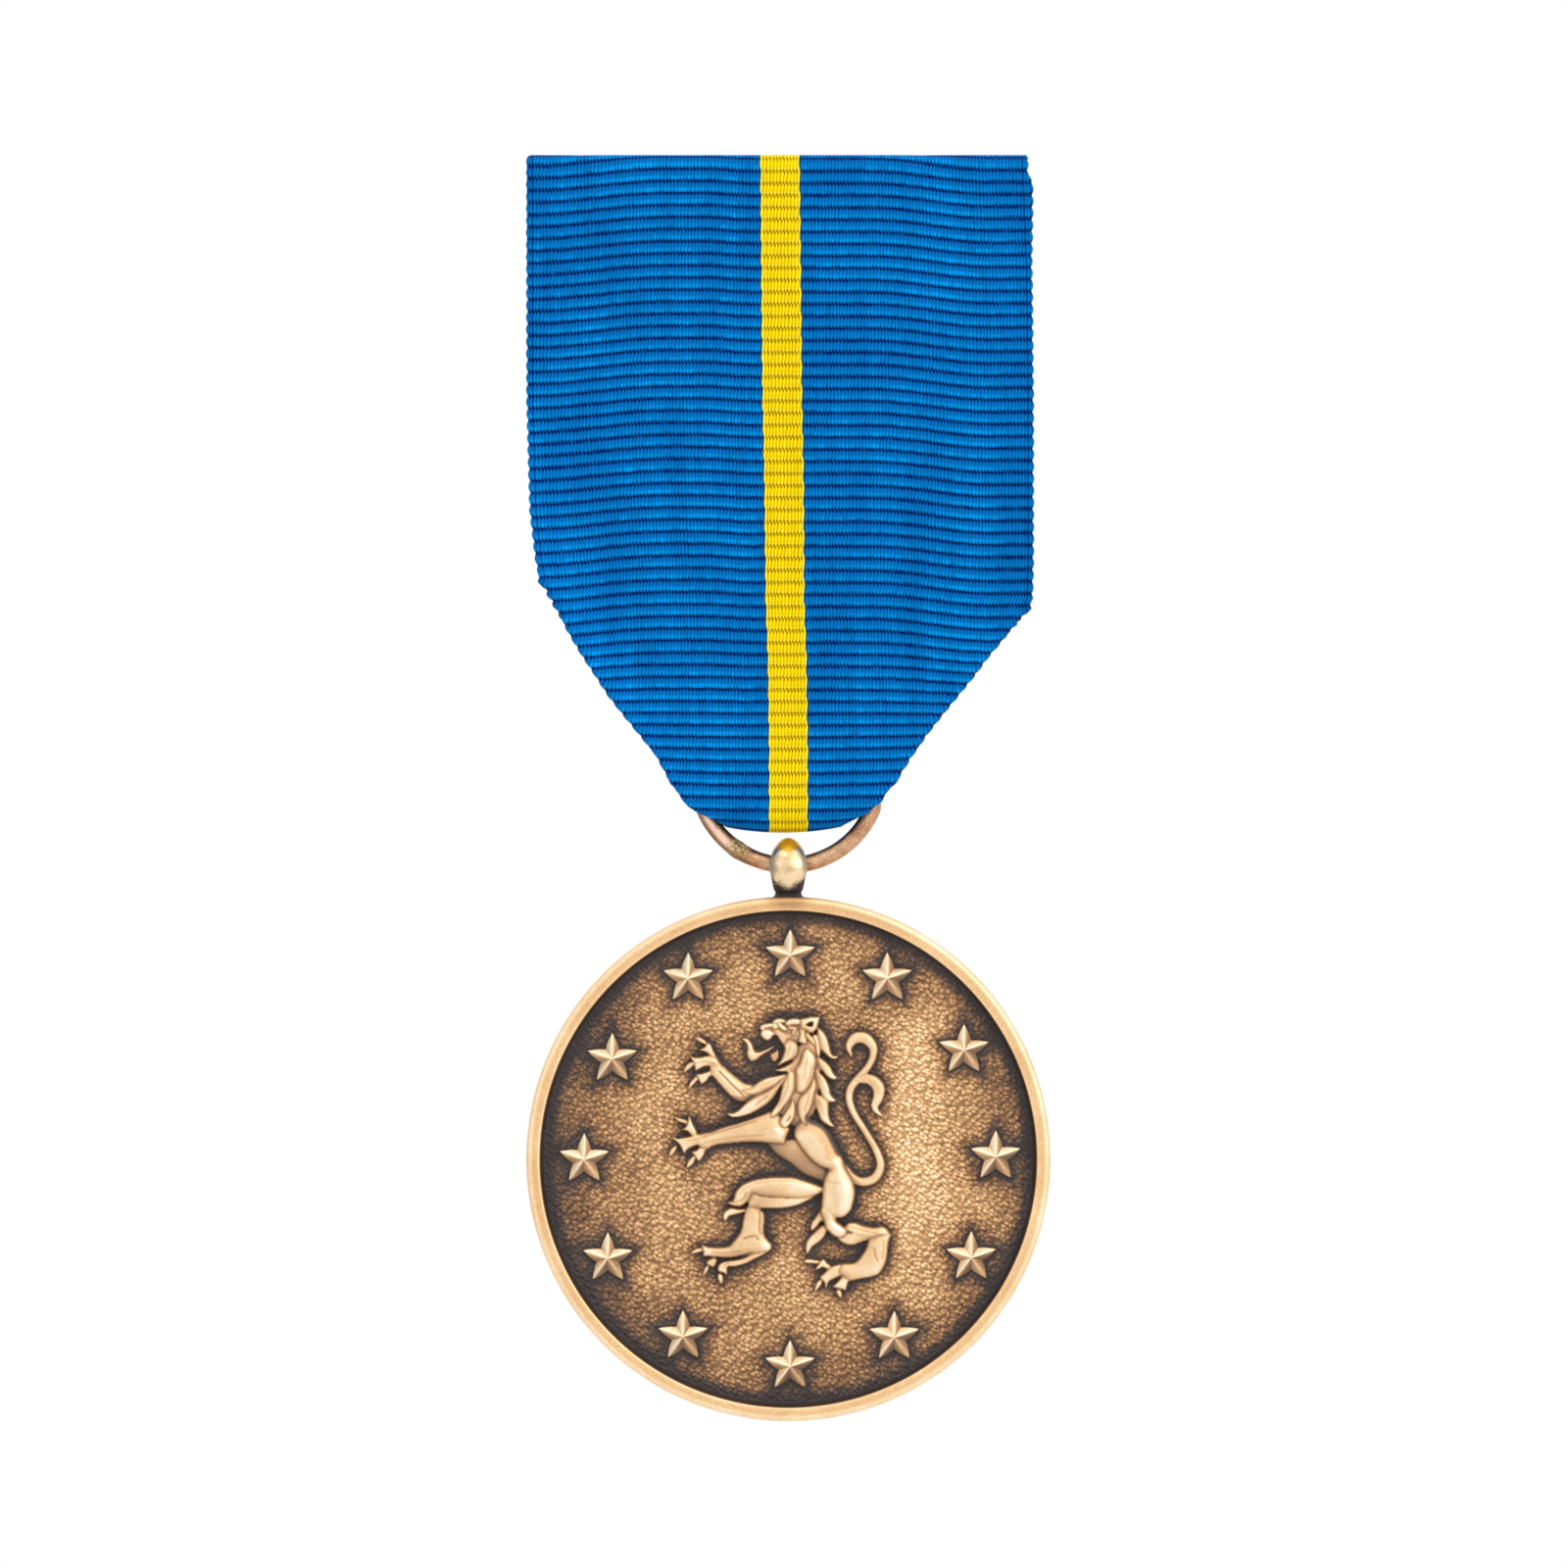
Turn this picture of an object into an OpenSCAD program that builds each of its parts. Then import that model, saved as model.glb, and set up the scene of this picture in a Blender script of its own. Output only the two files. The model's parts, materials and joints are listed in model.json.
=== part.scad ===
// Military medal: a round cast medal hanging by an eyelet and a wire ring from a folded ribbon.
// Millimetres. X to the right, Z up, the front looks towards -Y.
// The origin is the middle of the pin wire behind the ribbon's top, where the medal is pinned on.

/* [Ribbon] */
// Width of the ribbon from selvedge to selvedge
ribbon_w = 36.9; // [36.4:0.1:37.4]
// Height of the folded ribbon from its top edge to the bottom of its bend
ribbon_h = 49.3; // [49:0.1:49.6]
// Thickness of the ribbon's wall, with the side flaps that are folded in behind it
ribbon_t = 1.0; // [1:0.05:1.1]
// Half of the gap between the front and the back leg at the top fold
top_gap = 0.3; // [0.2:0.05:0.5]
// Inner radius of the bottom bend, in which the ring hangs
bend_r = 0.95; // [0.95:0.01:1]
// How far the back leg's right edge shows beside the front leg at the top
back_peek = 0.45; // [0:0.05:0.8]
// Height of the top edge above the pin wire
top_above_pin = 3.0; // [2.5:0.1:4]

/* [Suspension] */
// How far the ring and the medal hang to the right of the ribbon's middle
hang_x = 0.6; // [0.5:0.05:0.7]
// Radius of the ring's round lower part, at the middle of its wire
ring_r = 6.65; // [6.6:0.01:6.7]
// Diameter of the ring's wire
wire_d = 1.2; // [1.1:0.05:1.2]
// Depth of the ring's lowest wire, at its middle, below the ribbon's bend
wire_below_bend = 2.38; // [2.38:0.01:2.5]
// Radius of the two corners between the round part and the bar inside the fold
corner_r = 0.8; // [0.7:0.05:0.9]
// Half angle of the round lower part, counted from its lowest point
arc_half = 66.5; // [66:0.5:67]
// Outer radius of the eyelet
eyelet_r = 2.15; // [2.1:0.01:2.16]
// Radius of the hole in the eyelet
eyelet_hole_r = 0.85; // [0.8:0.01:0.9]
// Width of the eyelet along the ring's wire
eyelet_w = 2.56; // [2.4:0.02:2.6]

/* [Medal] */
// Diameter of the medal
medal_d = 38.1; // [37.8:0.1:38.4]
// Thickness of the medal at its rim
medal_t = 3.0; // [2.8:0.1:3]
// Width of the raised rim
rim_w = 1.0; // [0.8:0.05:1.2]
// Depth of the front field below the rim
field_depth = 0.9; // [0.8:0.05:1]
// Depth of the plain back below its rim
back_depth = 0.3; // [0.2:0.05:0.4]
// Rounding of the rim's outer edges
edge_round = 0.35; // [0.2:0.05:0.5]

/* [Relief] */
// Number of stars round the field
star_count = 12; // [10:1:14]
// Radius of the circle on which the stars stand
star_circle_r = 14.95; // [14.6:0.05:15.2]
// Radius of a star, from its middle to its tips
star_r = 1.9; // [1.7:0.05:2]
// Height of a star's middle above the field
star_h = 0.6; // [0.4:0.05:0.7]
// Overall width of the lion
lion_w = 16.1; // [15.4:0.1:16.4]
// Overall height of the lion
lion_tall = 20.5; // [19.8:0.1:20.8]
// Height of the lion's highest muscles above the field
lion_h = 0.95; // [0.8:0.05:1]

/* [Brooch pin] */
// Length of the plate behind the ribbon
plate_l = 30; // [26:0.5:32]
// Height of the plate
plate_h = 4; // [3.6:0.1:5]
// Thickness of the plate
plate_t = 0.8; // [0.6:0.1:1]
// Diameter of the pin wire
pin_d = 0.9; // [0.8:0.05:1]
// Clear space between the plate and the pin wire, for the cloth that it is pinned to
cloth_space = 1.95; // [1.8:0.05:2.5]

/* [Hidden] */

$fn = 96;
// Clear gaps: below the ring's bar on the fold, above the wire in the eyelet, behind the ribbon
SEAT_GAP = 0.15;
EYELET_GAP = 0.1;
PLATE_GAP = 0.1;
// How deep the foot of a piece that is one with its neighbour reaches into it
SUNK = 0.2;
WRAP = 180;

// Depths along Y, from the pin wire forwards
plate_back_y = -pin_d / 2 - cloth_space;
ribbon_back_y = plate_back_y - plate_t - PLATE_GAP;
loop_y = ribbon_back_y - ribbon_t - top_gap;

// Heights along Z
ribbon_top_z = top_above_pin;
ribbon_foot_z = ribbon_top_z - ribbon_h;
bend_z = ribbon_foot_z + bend_r + ribbon_t;
bar_z = bend_z - bend_r + SEAT_GAP + wire_d / 2;
wire_z = ribbon_foot_z - wire_below_bend;
ring_z = wire_z + ring_r;
eyelet_z = wire_z - (eyelet_hole_r - wire_d / 2) + EYELET_GAP;
medal_r = medal_d / 2;
medal_z = eyelet_z - eyelet_r - medal_r;
field_y = -medal_t / 2 + field_depth;

// One value of a table by its share of the way down, straight between the rows
function at(table, share, column) = lookup(share, [for (row = table) [row[0], row[column]]]);

// RIBBON
// Columns of LEG, from the top edge to the bend: share of the way down, left edge and right edge
// as shares of half the width, and how much higher than its middle a row's ends stand, in mm
LEFT = 1;
RIGHT = 2;
RISE = 3;
LEG = [
    [0.000, 1.000, 0.976, 0.00],
    [0.210, 1.000, 0.994, 0.00],
    [0.528, 0.987, 0.998, 0.00],
    [0.592, 0.972, 0.998, 0.00],
    [0.651, 0.948, 0.998, 0.02],
    [0.700, 0.886, 0.975, 0.05],
    [0.776, 0.780, 0.826, 0.15],
    [0.867, 0.617, 0.642, 0.25],
    [0.942, 0.471, 0.498, 0.35],
    [1.000, 0.386, 0.403, 0.35]
];
// Columns of BEND, from the front leg under the ring's bar to the lowest line, mirrored behind it:
// angle turned and half width about the ring's middle, in mm
HALF_W = 1;
BEND = [
    [0, 7.25],
    [18, 6.70],
    [36, 6.10],
    [54, 5.30],
    [72, 4.70],
    [90, 4.10]
];
LEG_ROWS = 26;
BEND_ROWS = 10;
FOLD_ROWS = 6;
SPANS = 10;
// How much higher than its middle the ends of a row in the bend stand
BEND_RISE = 0.3;
// Share of the way down at which the back leg's edge is hidden by the front leg
PEEK_END = 0.25;

half_w = ribbon_w / 2;
fold_r = top_gap + ribbon_t / 2;
hang_r = bend_r + ribbon_t / 2;
fold_z = ribbon_top_z - top_gap - ribbon_t;

// A row of the band: middle of the wall in Y and Z, the wall's outward direction, the two ends, the rise
function leg_row(share, side) =
    let (
        y = loop_y + side * (fold_r + (hang_r - fold_r) * share),
        z = fold_z + (bend_z - fold_z) * share,
        peek = side > 0 ? back_peek * max(0, 1 - share / PEEK_END) : 0
    )
    [y, z, side, 0, -at(LEG, share, LEFT) * half_w, at(LEG, share, RIGHT) * half_w + peek,
        at(LEG, share, RISE)];

function bend_row(turned) =
    let (half = at(BEND, min(turned, WRAP - turned), HALF_W))
    [loop_y - hang_r * cos(turned), bend_z - hang_r * sin(turned), -cos(turned), -sin(turned),
        hang_x - half, hang_x + half, BEND_RISE];

function fold_row(turned) =
    [loop_y + fold_r * cos(turned), fold_z + fold_r * sin(turned), cos(turned), sin(turned),
        -at(LEG, 0, LEFT) * half_w,
        at(LEG, 0, RIGHT) * half_w + back_peek * (1 - turned / WRAP), 0];

// The rows once round the loop: down the front, under the bar, up the back, over the top
BAND = concat(
    [for (i = [0 : LEG_ROWS - 1]) leg_row(i / LEG_ROWS, -1)],
    [for (i = [0 : BEND_ROWS]) bend_row(i * WRAP / BEND_ROWS)],
    [for (i = [LEG_ROWS - 1 : -1 : 0]) leg_row(i / LEG_ROWS, 1)],
    [for (i = [1 : FOLD_ROWS - 1]) fold_row(i * WRAP / FOLD_ROWS)]
);

// A point of a row: across from -1 to 1, on the outer face (1) or the inner one (-1)
function band_point(row, across, face) =
    let (reach = face * ribbon_t / 2)
    [
        row[4] + (row[5] - row[4]) * (across + 1) / 2,
        row[0] + row[2] * reach,
        row[1] + row[3] * reach + row[6] * pow(abs(across), 3)
    ];

// Section of the wall at one row: the outer face from right to left, then the inner face back
function band_section(row) = concat(
    [for (i = [SPANS : -1 : 0]) band_point(row, 2 * i / SPANS - 1, 1)],
    [for (i = [0 : SPANS]) band_point(row, 2 * i / SPANS - 1, -1)]
);

// Side faces between sections that run anticlockwise seen from the last one, in triangles;
// closed joins the last section to the first
function skin(sections, count, closed) = [
    for (i = [0 : sections - (closed ? 1 : 2)])
        for (j = [0 : count - 1])
            let (
                a = i * count + j,
                b = i * count + (j + 1) % count,
                c = ((i + 1) % sections) * count + (j + 1) % count,
                d = ((i + 1) % sections) * count + j
            )
            each [[a, c, b], [a, d, c]]
];

module ribbon() {
    sections = [for (row = BAND) band_section(row)];
    points = [for (section = sections) each section];
    color("dodgerblue")
        polyhedron(points = points, faces = skin(len(BAND), 2 * (SPANS + 1), true));
}

// RING
// How much thicker than the wire the joints between its arcs are
SOLDER = 0.06;
corner_x = (ring_r - corner_r) * sin(arc_half);
corner_z = ring_z - (ring_r - corner_r) * cos(arc_half);
// The bar's arc touches both corners from inside and its lowest point is at bar_z
bar_rise = corner_z - bar_z;
bar_r = (pow(corner_x, 2) + pow(bar_rise, 2) - pow(corner_r, 2)) / (2 * (bar_rise + corner_r));
bar_mid_z = bar_z + bar_r;
bar_half = atan2(corner_x, bar_mid_z - corner_z);

// A piece of round wire bent to an arc in the XZ plane, from one angle to another, round a middle
module wire_arc(radius, from, to, x, z) {
    translate([x, 0, z])
        rotate([90, 0, 0])
            rotate([0, 0, from])
                rotate_extrude(angle = to - from)
                    translate([radius, 0])
                        circle(d = wire_d);
}

// Small ball that joins two arcs end to end
module wire_joint(x, z) {
    translate([x, 0, z])
        sphere(d = wire_d + SOLDER);
}

module ring() {
    arc_end_x = ring_r * sin(arc_half);
    arc_end_z = ring_z - ring_r * cos(arc_half);
    bar_end_x = bar_r * sin(bar_half);
    bar_end_z = bar_mid_z - bar_r * cos(bar_half);
    color("rosybrown")
        translate([hang_x, loop_y, 0]) {
            for (side = [-1, 1]) {
                wire_joint(side * arc_end_x, arc_end_z);
                wire_joint(side * bar_end_x, bar_end_z);
            }
            wire_arc(ring_r, -90 - arc_half, -90 + arc_half, 0, ring_z);
            wire_arc(corner_r, -90 + arc_half, 90 + bar_half, corner_x, corner_z);
            wire_arc(corner_r, 90 - bar_half, 270 - arc_half, -corner_x, corner_z);
            wire_arc(bar_r, -90 - bar_half, -90 + bar_half, 0, bar_mid_z);
        }
}

// MEDAL
// Half the width of the slope from the rim down to the field
RIM_SLOPE = 0.15;
// Neck between the eyelet and the disc
NECK_H = 1.25;
NECK_TOP_R = 0.98;
NECK_FOOT_R = 1.12;
NECK_SUNK = 0.6;
// Quarter round of a section, from one angle to another round a middle
function round_off(middle, radius, from, to, steps = 4) = [
    for (i = [0 : steps])
        let (turn = from + (to - from) * i / steps)
        [middle[0] + radius * cos(turn), middle[1] + radius * sin(turn)]
];

// Half section of the disc: radius from the axis, height towards the front
disc_section = concat(
    [[0, -medal_t / 2 + back_depth]],
    [[medal_r - rim_w - back_depth, -medal_t / 2 + back_depth]],
    [[medal_r - rim_w, -medal_t / 2]],
    round_off([medal_r - edge_round, -medal_t / 2 + edge_round], edge_round, -90, 0),
    round_off([medal_r - edge_round, medal_t / 2 - edge_round], edge_round, 0, 90),
    [[medal_r - rim_w + RIM_SLOPE, medal_t / 2]],
    [[medal_r - rim_w - RIM_SLOPE, -field_y]],
    [[0, -field_y]]
);

module disc() {
    rotate([90, 0, 0])
        rotate_extrude()
            polygon(disc_section);
}

// Front outline of the eyelet and its neck: share of the way down from the top, half width share
EYELET = [
    [0.00, 0.15],
    [0.02, 0.36],
    [0.06, 0.58],
    [0.14, 0.78],
    [0.26, 0.93],
    [0.42, 1.00],
    [0.56, 0.98],
    [0.76, 0.88],
    [0.92, 0.80],
    [1.00, 0.78],
    [1.12, 0.84]
];

module eyelet() {
    tube_r = (eyelet_r - eyelet_hole_r) / 2;
    tube_w = eyelet_w / 2;
    oval = [for (turn = [0 : 15 : 345])
        [eyelet_r - tube_r + tube_r * cos(turn), tube_w * sin(turn)]];
    side = [for (row = EYELET) [row[1] * tube_w, eyelet_r - row[0] * 2 * eyelet_r]];
    other_side = [for (i = [len(side) - 1 : -1 : 0]) [-side[i][0], side[i][1]]];
    intersection() {
        rotate([0, 90, 0])
            rotate_extrude()
                polygon(oval);
        rotate([90, 0, 0])
            linear_extrude(height = 3 * eyelet_r, center = true)
                polygon(concat(side, other_side));
    }
    translate([0, 0, -eyelet_r - NECK_SUNK])
        cylinder(h = NECK_H, r1 = NECK_FOOT_R, r2 = NECK_TOP_R);
}

// Five points with ridges from the middle to the tips, its foot sunk into the field
module star() {
    tips = 5;
    notch_share = 0.43;
    edge_h = 0.12;
    outline = [for (i = [0 : 2 * tips - 1])
        let (reach = i % 2 == 0 ? star_r : star_r * notch_share, turn = 90 + i * 180 / tips)
        [reach * cos(turn), reach * sin(turn)]];
    count = len(outline);
    points = concat(
        [for (p = outline) [p[0], p[1], -SUNK]],
        [for (p = outline) [p[0], p[1], edge_h]],
        [[0, 0, star_h], [0, 0, -SUNK]]
    );
    polyhedron(points = points, faces = concat(
        skin(2, count, false),
        [for (i = [0 : count - 1]) [count + (i + 1) % count, count + i, 2 * count]],
        [for (i = [0 : count - 1]) [i, (i + 1) % count, 2 * count + 1]]
    ));
}

module stars() {
    for (i = [0 : star_count - 1])
        rotate([0, 0, i * 360 / star_count])
            translate([0, star_circle_r, 0])
                rotate([0, 0, -i * 360 / star_count])
                    star();
}

// LION
// Each form of the lion is a rounded ridge carried along a short run of stations. Columns of a
// station: X and Z from the medal's middle, half width, and height as a share of lion_h.
// Low masses below the head, the mane and the joints of the limbs
UNDERLAY = [
    [[-0.9, 9.3, 0.30, 0.42], [0.0, 9.25, 0.80, 0.52], [1.0, 9.1, 0.90, 0.55], [1.7, 8.7, 0.60, 0.52]],
    [[1.5, 8.8, 0.70, 0.50], [1.5, 7.2, 1.05, 0.56], [1.3, 5.6, 1.20, 0.56], [1.2, 3.6, 0.95, 0.50]],
    [[0.6, 6.2, 0.30, 0.48], [-0.4, 5.0, 0.90, 0.50], [-0.6, 3.4, 0.95, 0.50], [-0.2, 2.2, 0.70, 0.48]],
    [[2.6, -0.9, 0.90, 0.60], [3.3, -1.9, 1.10, 0.70]]
];
HEAD = [
    [[-2.0, 9.5, 0.12, 0.50], [-1.6, 9.62, 0.20, 0.62], [-1.0, 9.55, 0.20, 0.66]],
    [[-1.2, 9.75, 0.16, 0.62], [-0.7, 9.98, 0.28, 0.74], [-0.1, 9.8, 0.24, 0.74]],
    [[-0.3, 9.85, 0.20, 0.68], [0.3, 9.98, 0.26, 0.78], [0.85, 9.85, 0.20, 0.70]],
    [[0.9, 9.5, 0.16, 0.66], [1.25, 10.05, 0.17, 0.72], [2.2, 10.3, 0.08, 0.60]],
    [[2.2, 10.25, 0.08, 0.60], [2.05, 9.8, 0.13, 0.60], [1.95, 9.25, 0.12, 0.50]],
    [[-2.0, 9.05, 0.20, 0.40], [-1.55, 9.04, 0.38, 0.52], [-1.1, 9.1, 0.26, 0.46]],
    [[-1.0, 9.25, 0.16, 0.56], [-0.3, 9.3, 0.30, 0.68], [0.5, 9.2, 0.34, 0.74], [1.3, 9.3, 0.30, 0.70]],
    [[0.05, 9.15, 0.32, 0.66], [0.4, 8.5, 0.45, 0.68], [0.35, 7.9, 0.45, 0.64], [-0.2, 7.3, 0.28, 0.50],
        [-0.8, 6.85, 0.06, 0.30]],
    [[0.9, 7.35, 0.16, 0.54], [0.1, 6.8, 0.28, 0.52], [-0.85, 6.4, 0.05, 0.30]],
    [[-3.3, 8.65, 0.06, 0.22], [-2.95, 8.2, 0.22, 0.34], [-2.6, 7.6, 0.36, 0.42], [-2.0, 7.55, 0.26, 0.36],
        [-1.5, 7.85, 0.12, 0.26], [-1.1, 8.1, 0.05, 0.20]]
];
MANE = [
    [[-0.2, 6.05, 0.12, 0.60], [-1.2, 5.7, 0.42, 0.68], [-2.35, 5.0, 0.42, 0.62], [-3.35, 4.75, 0.08, 0.36]],
    [[-0.3, 5.6, 0.14, 0.60], [-1.2, 4.8, 0.45, 0.66], [-2.35, 4.0, 0.45, 0.60], [-3.45, 3.35, 0.28, 0.46],
        [-4.45, 3.25, 0.06, 0.28]],
    [[0.35, 6.2, 0.14, 0.62], [0.05, 5.1, 0.45, 0.70], [-0.5, 4.2, 0.45, 0.68], [-1.3, 3.15, 0.10, 0.44]],
    [[0.4, 4.0, 0.24, 0.62], [0.05, 3.15, 0.48, 0.72], [-0.2, 2.4, 0.24, 0.54]],
    [[1.35, 8.0, 0.24, 0.62], [1.3, 7.1, 0.60, 0.82], [1.15, 6.1, 0.68, 0.88], [0.85, 5.0, 0.40, 0.72]],
    [[1.35, 5.0, 0.24, 0.66], [1.25, 4.1, 0.52, 0.80], [1.0, 3.2, 0.40, 0.72], [0.95, 2.5, 0.12, 0.52]],
    [[2.05, 9.4, 0.18, 0.46], [2.6, 8.65, 0.34, 0.56], [2.9, 7.8, 0.30, 0.46], [3.6, 7.4, 0.06, 0.26]],
    [[1.55, 9.1, 0.26, 0.60], [2.1, 8.0, 0.36, 0.66], [2.5, 6.95, 0.42, 0.60], [2.9, 6.2, 0.26, 0.46],
        [3.5, 5.9, 0.06, 0.28]],
    [[2.0, 6.4, 0.24, 0.56], [2.5, 5.4, 0.40, 0.62], [2.8, 4.7, 0.30, 0.52], [3.35, 4.2, 0.06, 0.30]],
    [[1.9, 4.9, 0.22, 0.56], [2.3, 4.1, 0.42, 0.60], [2.65, 3.1, 0.36, 0.52], [3.25, 2.45, 0.06, 0.30]]
];
// Raised foreleg with its toes and claws
RAISED_FORELEG = [
    [[-2.6, 4.8, 0.55, 0.55], [-3.2, 5.1, 0.60, 0.58], [-4.2, 5.95, 0.58, 0.58], [-5.2, 6.85, 0.50, 0.50],
        [-5.6, 7.1, 0.44, 0.46]],
    [[-5.2, 7.2, 0.34, 0.44], [-5.7, 7.75, 0.28, 0.40], [-6.3, 8.05, 0.14, 0.34]],
    [[-5.3, 7.05, 0.40, 0.48], [-6.2, 7.0, 0.38, 0.48], [-6.95, 7.0, 0.44, 0.44]],
    [[-5.3, 6.5, 0.30, 0.42], [-6.0, 6.05, 0.30, 0.42], [-6.5, 5.85, 0.24, 0.34]],
    [[-5.8, 8.25, 0.14, 0.30], [-6.4, 8.65, 0.12, 0.26], [-6.75, 8.75, 0.05, 0.18]],
    [[-6.8, 6.95, 0.20, 0.32], [-7.2, 6.7, 0.17, 0.28], [-7.6, 6.35, 0.05, 0.18]],
    [[-6.4, 6.1, 0.18, 0.30], [-6.9, 5.65, 0.16, 0.26], [-7.2, 5.2, 0.05, 0.18]]
];
// Stretched foreleg with its shoulder, toes and claws
STRETCHED_FORELEG = [
    [[0.1, 2.2, 0.60, 0.60], [-0.6, 2.1, 1.00, 0.72], [-1.8, 2.25, 0.98, 0.74], [-3.45, 2.0, 0.68, 0.64],
        [-5.1, 1.8, 0.48, 0.54], [-6.4, 1.5, 0.38, 0.48]],
    [[-6.2, 1.5, 0.36, 0.46], [-7.3, 1.2, 0.38, 0.46], [-8.0, 1.1, 0.46, 0.42]],
    [[-6.5, 1.7, 0.28, 0.38], [-7.0, 2.2, 0.28, 0.38], [-7.5, 2.35, 0.20, 0.30]],
    [[-6.0, 1.1, 0.30, 0.40], [-6.4, 0.5, 0.32, 0.40], [-6.75, 0.15, 0.32, 0.34]],
    [[-7.3, 2.5, 0.16, 0.28], [-7.8, 2.8, 0.13, 0.24], [-8.2, 2.95, 0.05, 0.18]],
    [[-7.8, 0.9, 0.22, 0.32], [-8.35, 0.65, 0.18, 0.28], [-8.6, 0.3, 0.05, 0.18]],
    [[-6.7, 0.35, 0.18, 0.28], [-7.05, -0.2, 0.16, 0.24], [-7.3, -0.65, 0.05, 0.18]]
];
// Back, belly and haunch
BODY = [
    [[0.9, 2.5, 0.45, 0.66], [1.3, 1.7, 0.80, 0.84], [2.1, 0.8, 0.90, 0.95], [3.1, -0.15, 0.76, 0.90],
        [3.9, -1.0, 0.62, 0.80]],
    [[-1.2, 1.0, 0.20, 0.30], [-0.2, 0.6, 0.55, 0.42], [0.9, -0.1, 0.60, 0.44], [2.0, -0.8, 0.44, 0.40],
        [2.6, -1.2, 0.20, 0.36]],
    [[3.5, -0.9, 0.76, 0.80], [3.65, -2.0, 1.12, 0.97], [3.55, -3.2, 1.16, 1.00], [3.2, -4.2, 0.86, 0.84],
        [3.2, -4.9, 0.58, 0.68], [3.9, -5.4, 0.40, 0.56]]
];
// Front hind leg: thigh in two bands, knee tufts, shin, foot, toes and claws
FRONT_HIND_LEG = [
    [[2.3, -2.15, 0.24, 0.50], [1.3, -2.05, 0.54, 0.66], [-0.2, -1.95, 0.64, 0.70], [-1.8, -2.0, 0.60, 0.66],
        [-3.0, -2.35, 0.56, 0.56], [-3.55, -2.9, 0.40, 0.46]],
    [[2.1, -2.6, 0.20, 0.42], [0.4, -3.1, 0.42, 0.52], [-1.3, -3.15, 0.44, 0.52], [-2.5, -3.15, 0.40, 0.46]],
    [[-3.3, -2.8, 0.36, 0.44], [-3.75, -3.15, 0.24, 0.36], [-4.35, -3.1, 0.06, 0.24]],
    [[-3.1, -3.6, 0.16, 0.36], [-4.05, -3.8, 0.26, 0.34], [-4.6, -4.45, 0.06, 0.22]],
    [[-2.45, -3.4, 0.62, 0.50], [-2.35, -4.5, 0.70, 0.58], [-2.5, -5.5, 0.90, 0.60],
        [-2.85, -6.25, 0.80, 0.56]],
    [[-1.5, -6.35, 0.40, 0.58], [-2.5, -6.45, 0.60, 0.60], [-4.2, -6.8, 0.38, 0.50],
        [-6.2, -6.7, 0.34, 0.42]],
    [[-1.7, -6.8, 0.30, 0.46], [-2.6, -7.1, 0.34, 0.48], [-3.7, -7.55, 0.32, 0.46],
        [-4.7, -7.85, 0.36, 0.42], [-4.85, -8.3, 0.30, 0.36]],
    [[-5.2, -7.0, 0.24, 0.36], [-5.6, -7.5, 0.36, 0.38], [-6.0, -7.75, 0.22, 0.30]],
    [[-6.1, -6.6, 0.20, 0.30], [-6.6, -6.7, 0.16, 0.26], [-7.1, -6.85, 0.05, 0.18]],
    [[-5.85, -7.7, 0.18, 0.30], [-6.0, -8.1, 0.15, 0.26], [-6.1, -8.5, 0.05, 0.18]],
    [[-4.9, -8.2, 0.20, 0.30], [-4.95, -8.7, 0.16, 0.26], [-4.85, -9.1, 0.05, 0.18]]
];
// Rear hind leg: thigh tufts, hock, shank, foot, toes and claws
REAR_HIND_LEG = [
    [[2.5, -3.8, 0.26, 0.44], [1.95, -4.6, 0.28, 0.36], [1.7, -5.15, 0.06, 0.22]],
    [[2.6, -4.7, 0.22, 0.42], [2.1, -5.5, 0.38, 0.38], [1.55, -6.2, 0.26, 0.32], [1.35, -6.8, 0.06, 0.22]],
    [[3.4, -5.3, 0.44, 0.56], [4.4, -5.45, 0.72, 0.62], [5.7, -5.45, 0.60, 0.62], [6.8, -5.35, 0.46, 0.56],
        [7.35, -5.55, 0.16, 0.44]],
    [[6.7, -5.4, 0.62, 0.58], [6.4, -6.4, 0.78, 0.62], [6.0, -7.4, 0.98, 0.64], [5.6, -8.1, 0.66, 0.56]],
    [[5.9, -8.0, 0.70, 0.58], [4.9, -8.0, 0.62, 0.56], [3.8, -8.2, 0.54, 0.52], [2.7, -8.55, 0.44, 0.42]],
    [[4.4, -8.3, 0.40, 0.48], [3.9, -8.8, 0.42, 0.44], [3.7, -9.25, 0.34, 0.36]],
    [[3.1, -8.0, 0.24, 0.38], [2.6, -7.65, 0.32, 0.38], [2.2, -7.5, 0.22, 0.30]],
    [[2.4, -7.5, 0.20, 0.30], [1.8, -7.42, 0.16, 0.26], [1.2, -7.45, 0.05, 0.18]],
    [[2.5, -8.8, 0.22, 0.32], [2.2, -9.3, 0.16, 0.26], [2.0, -9.65, 0.05, 0.18]],
    [[3.6, -9.2, 0.20, 0.30], [3.65, -9.7, 0.16, 0.26], [3.75, -10.1, 0.05, 0.18]]
];
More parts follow.
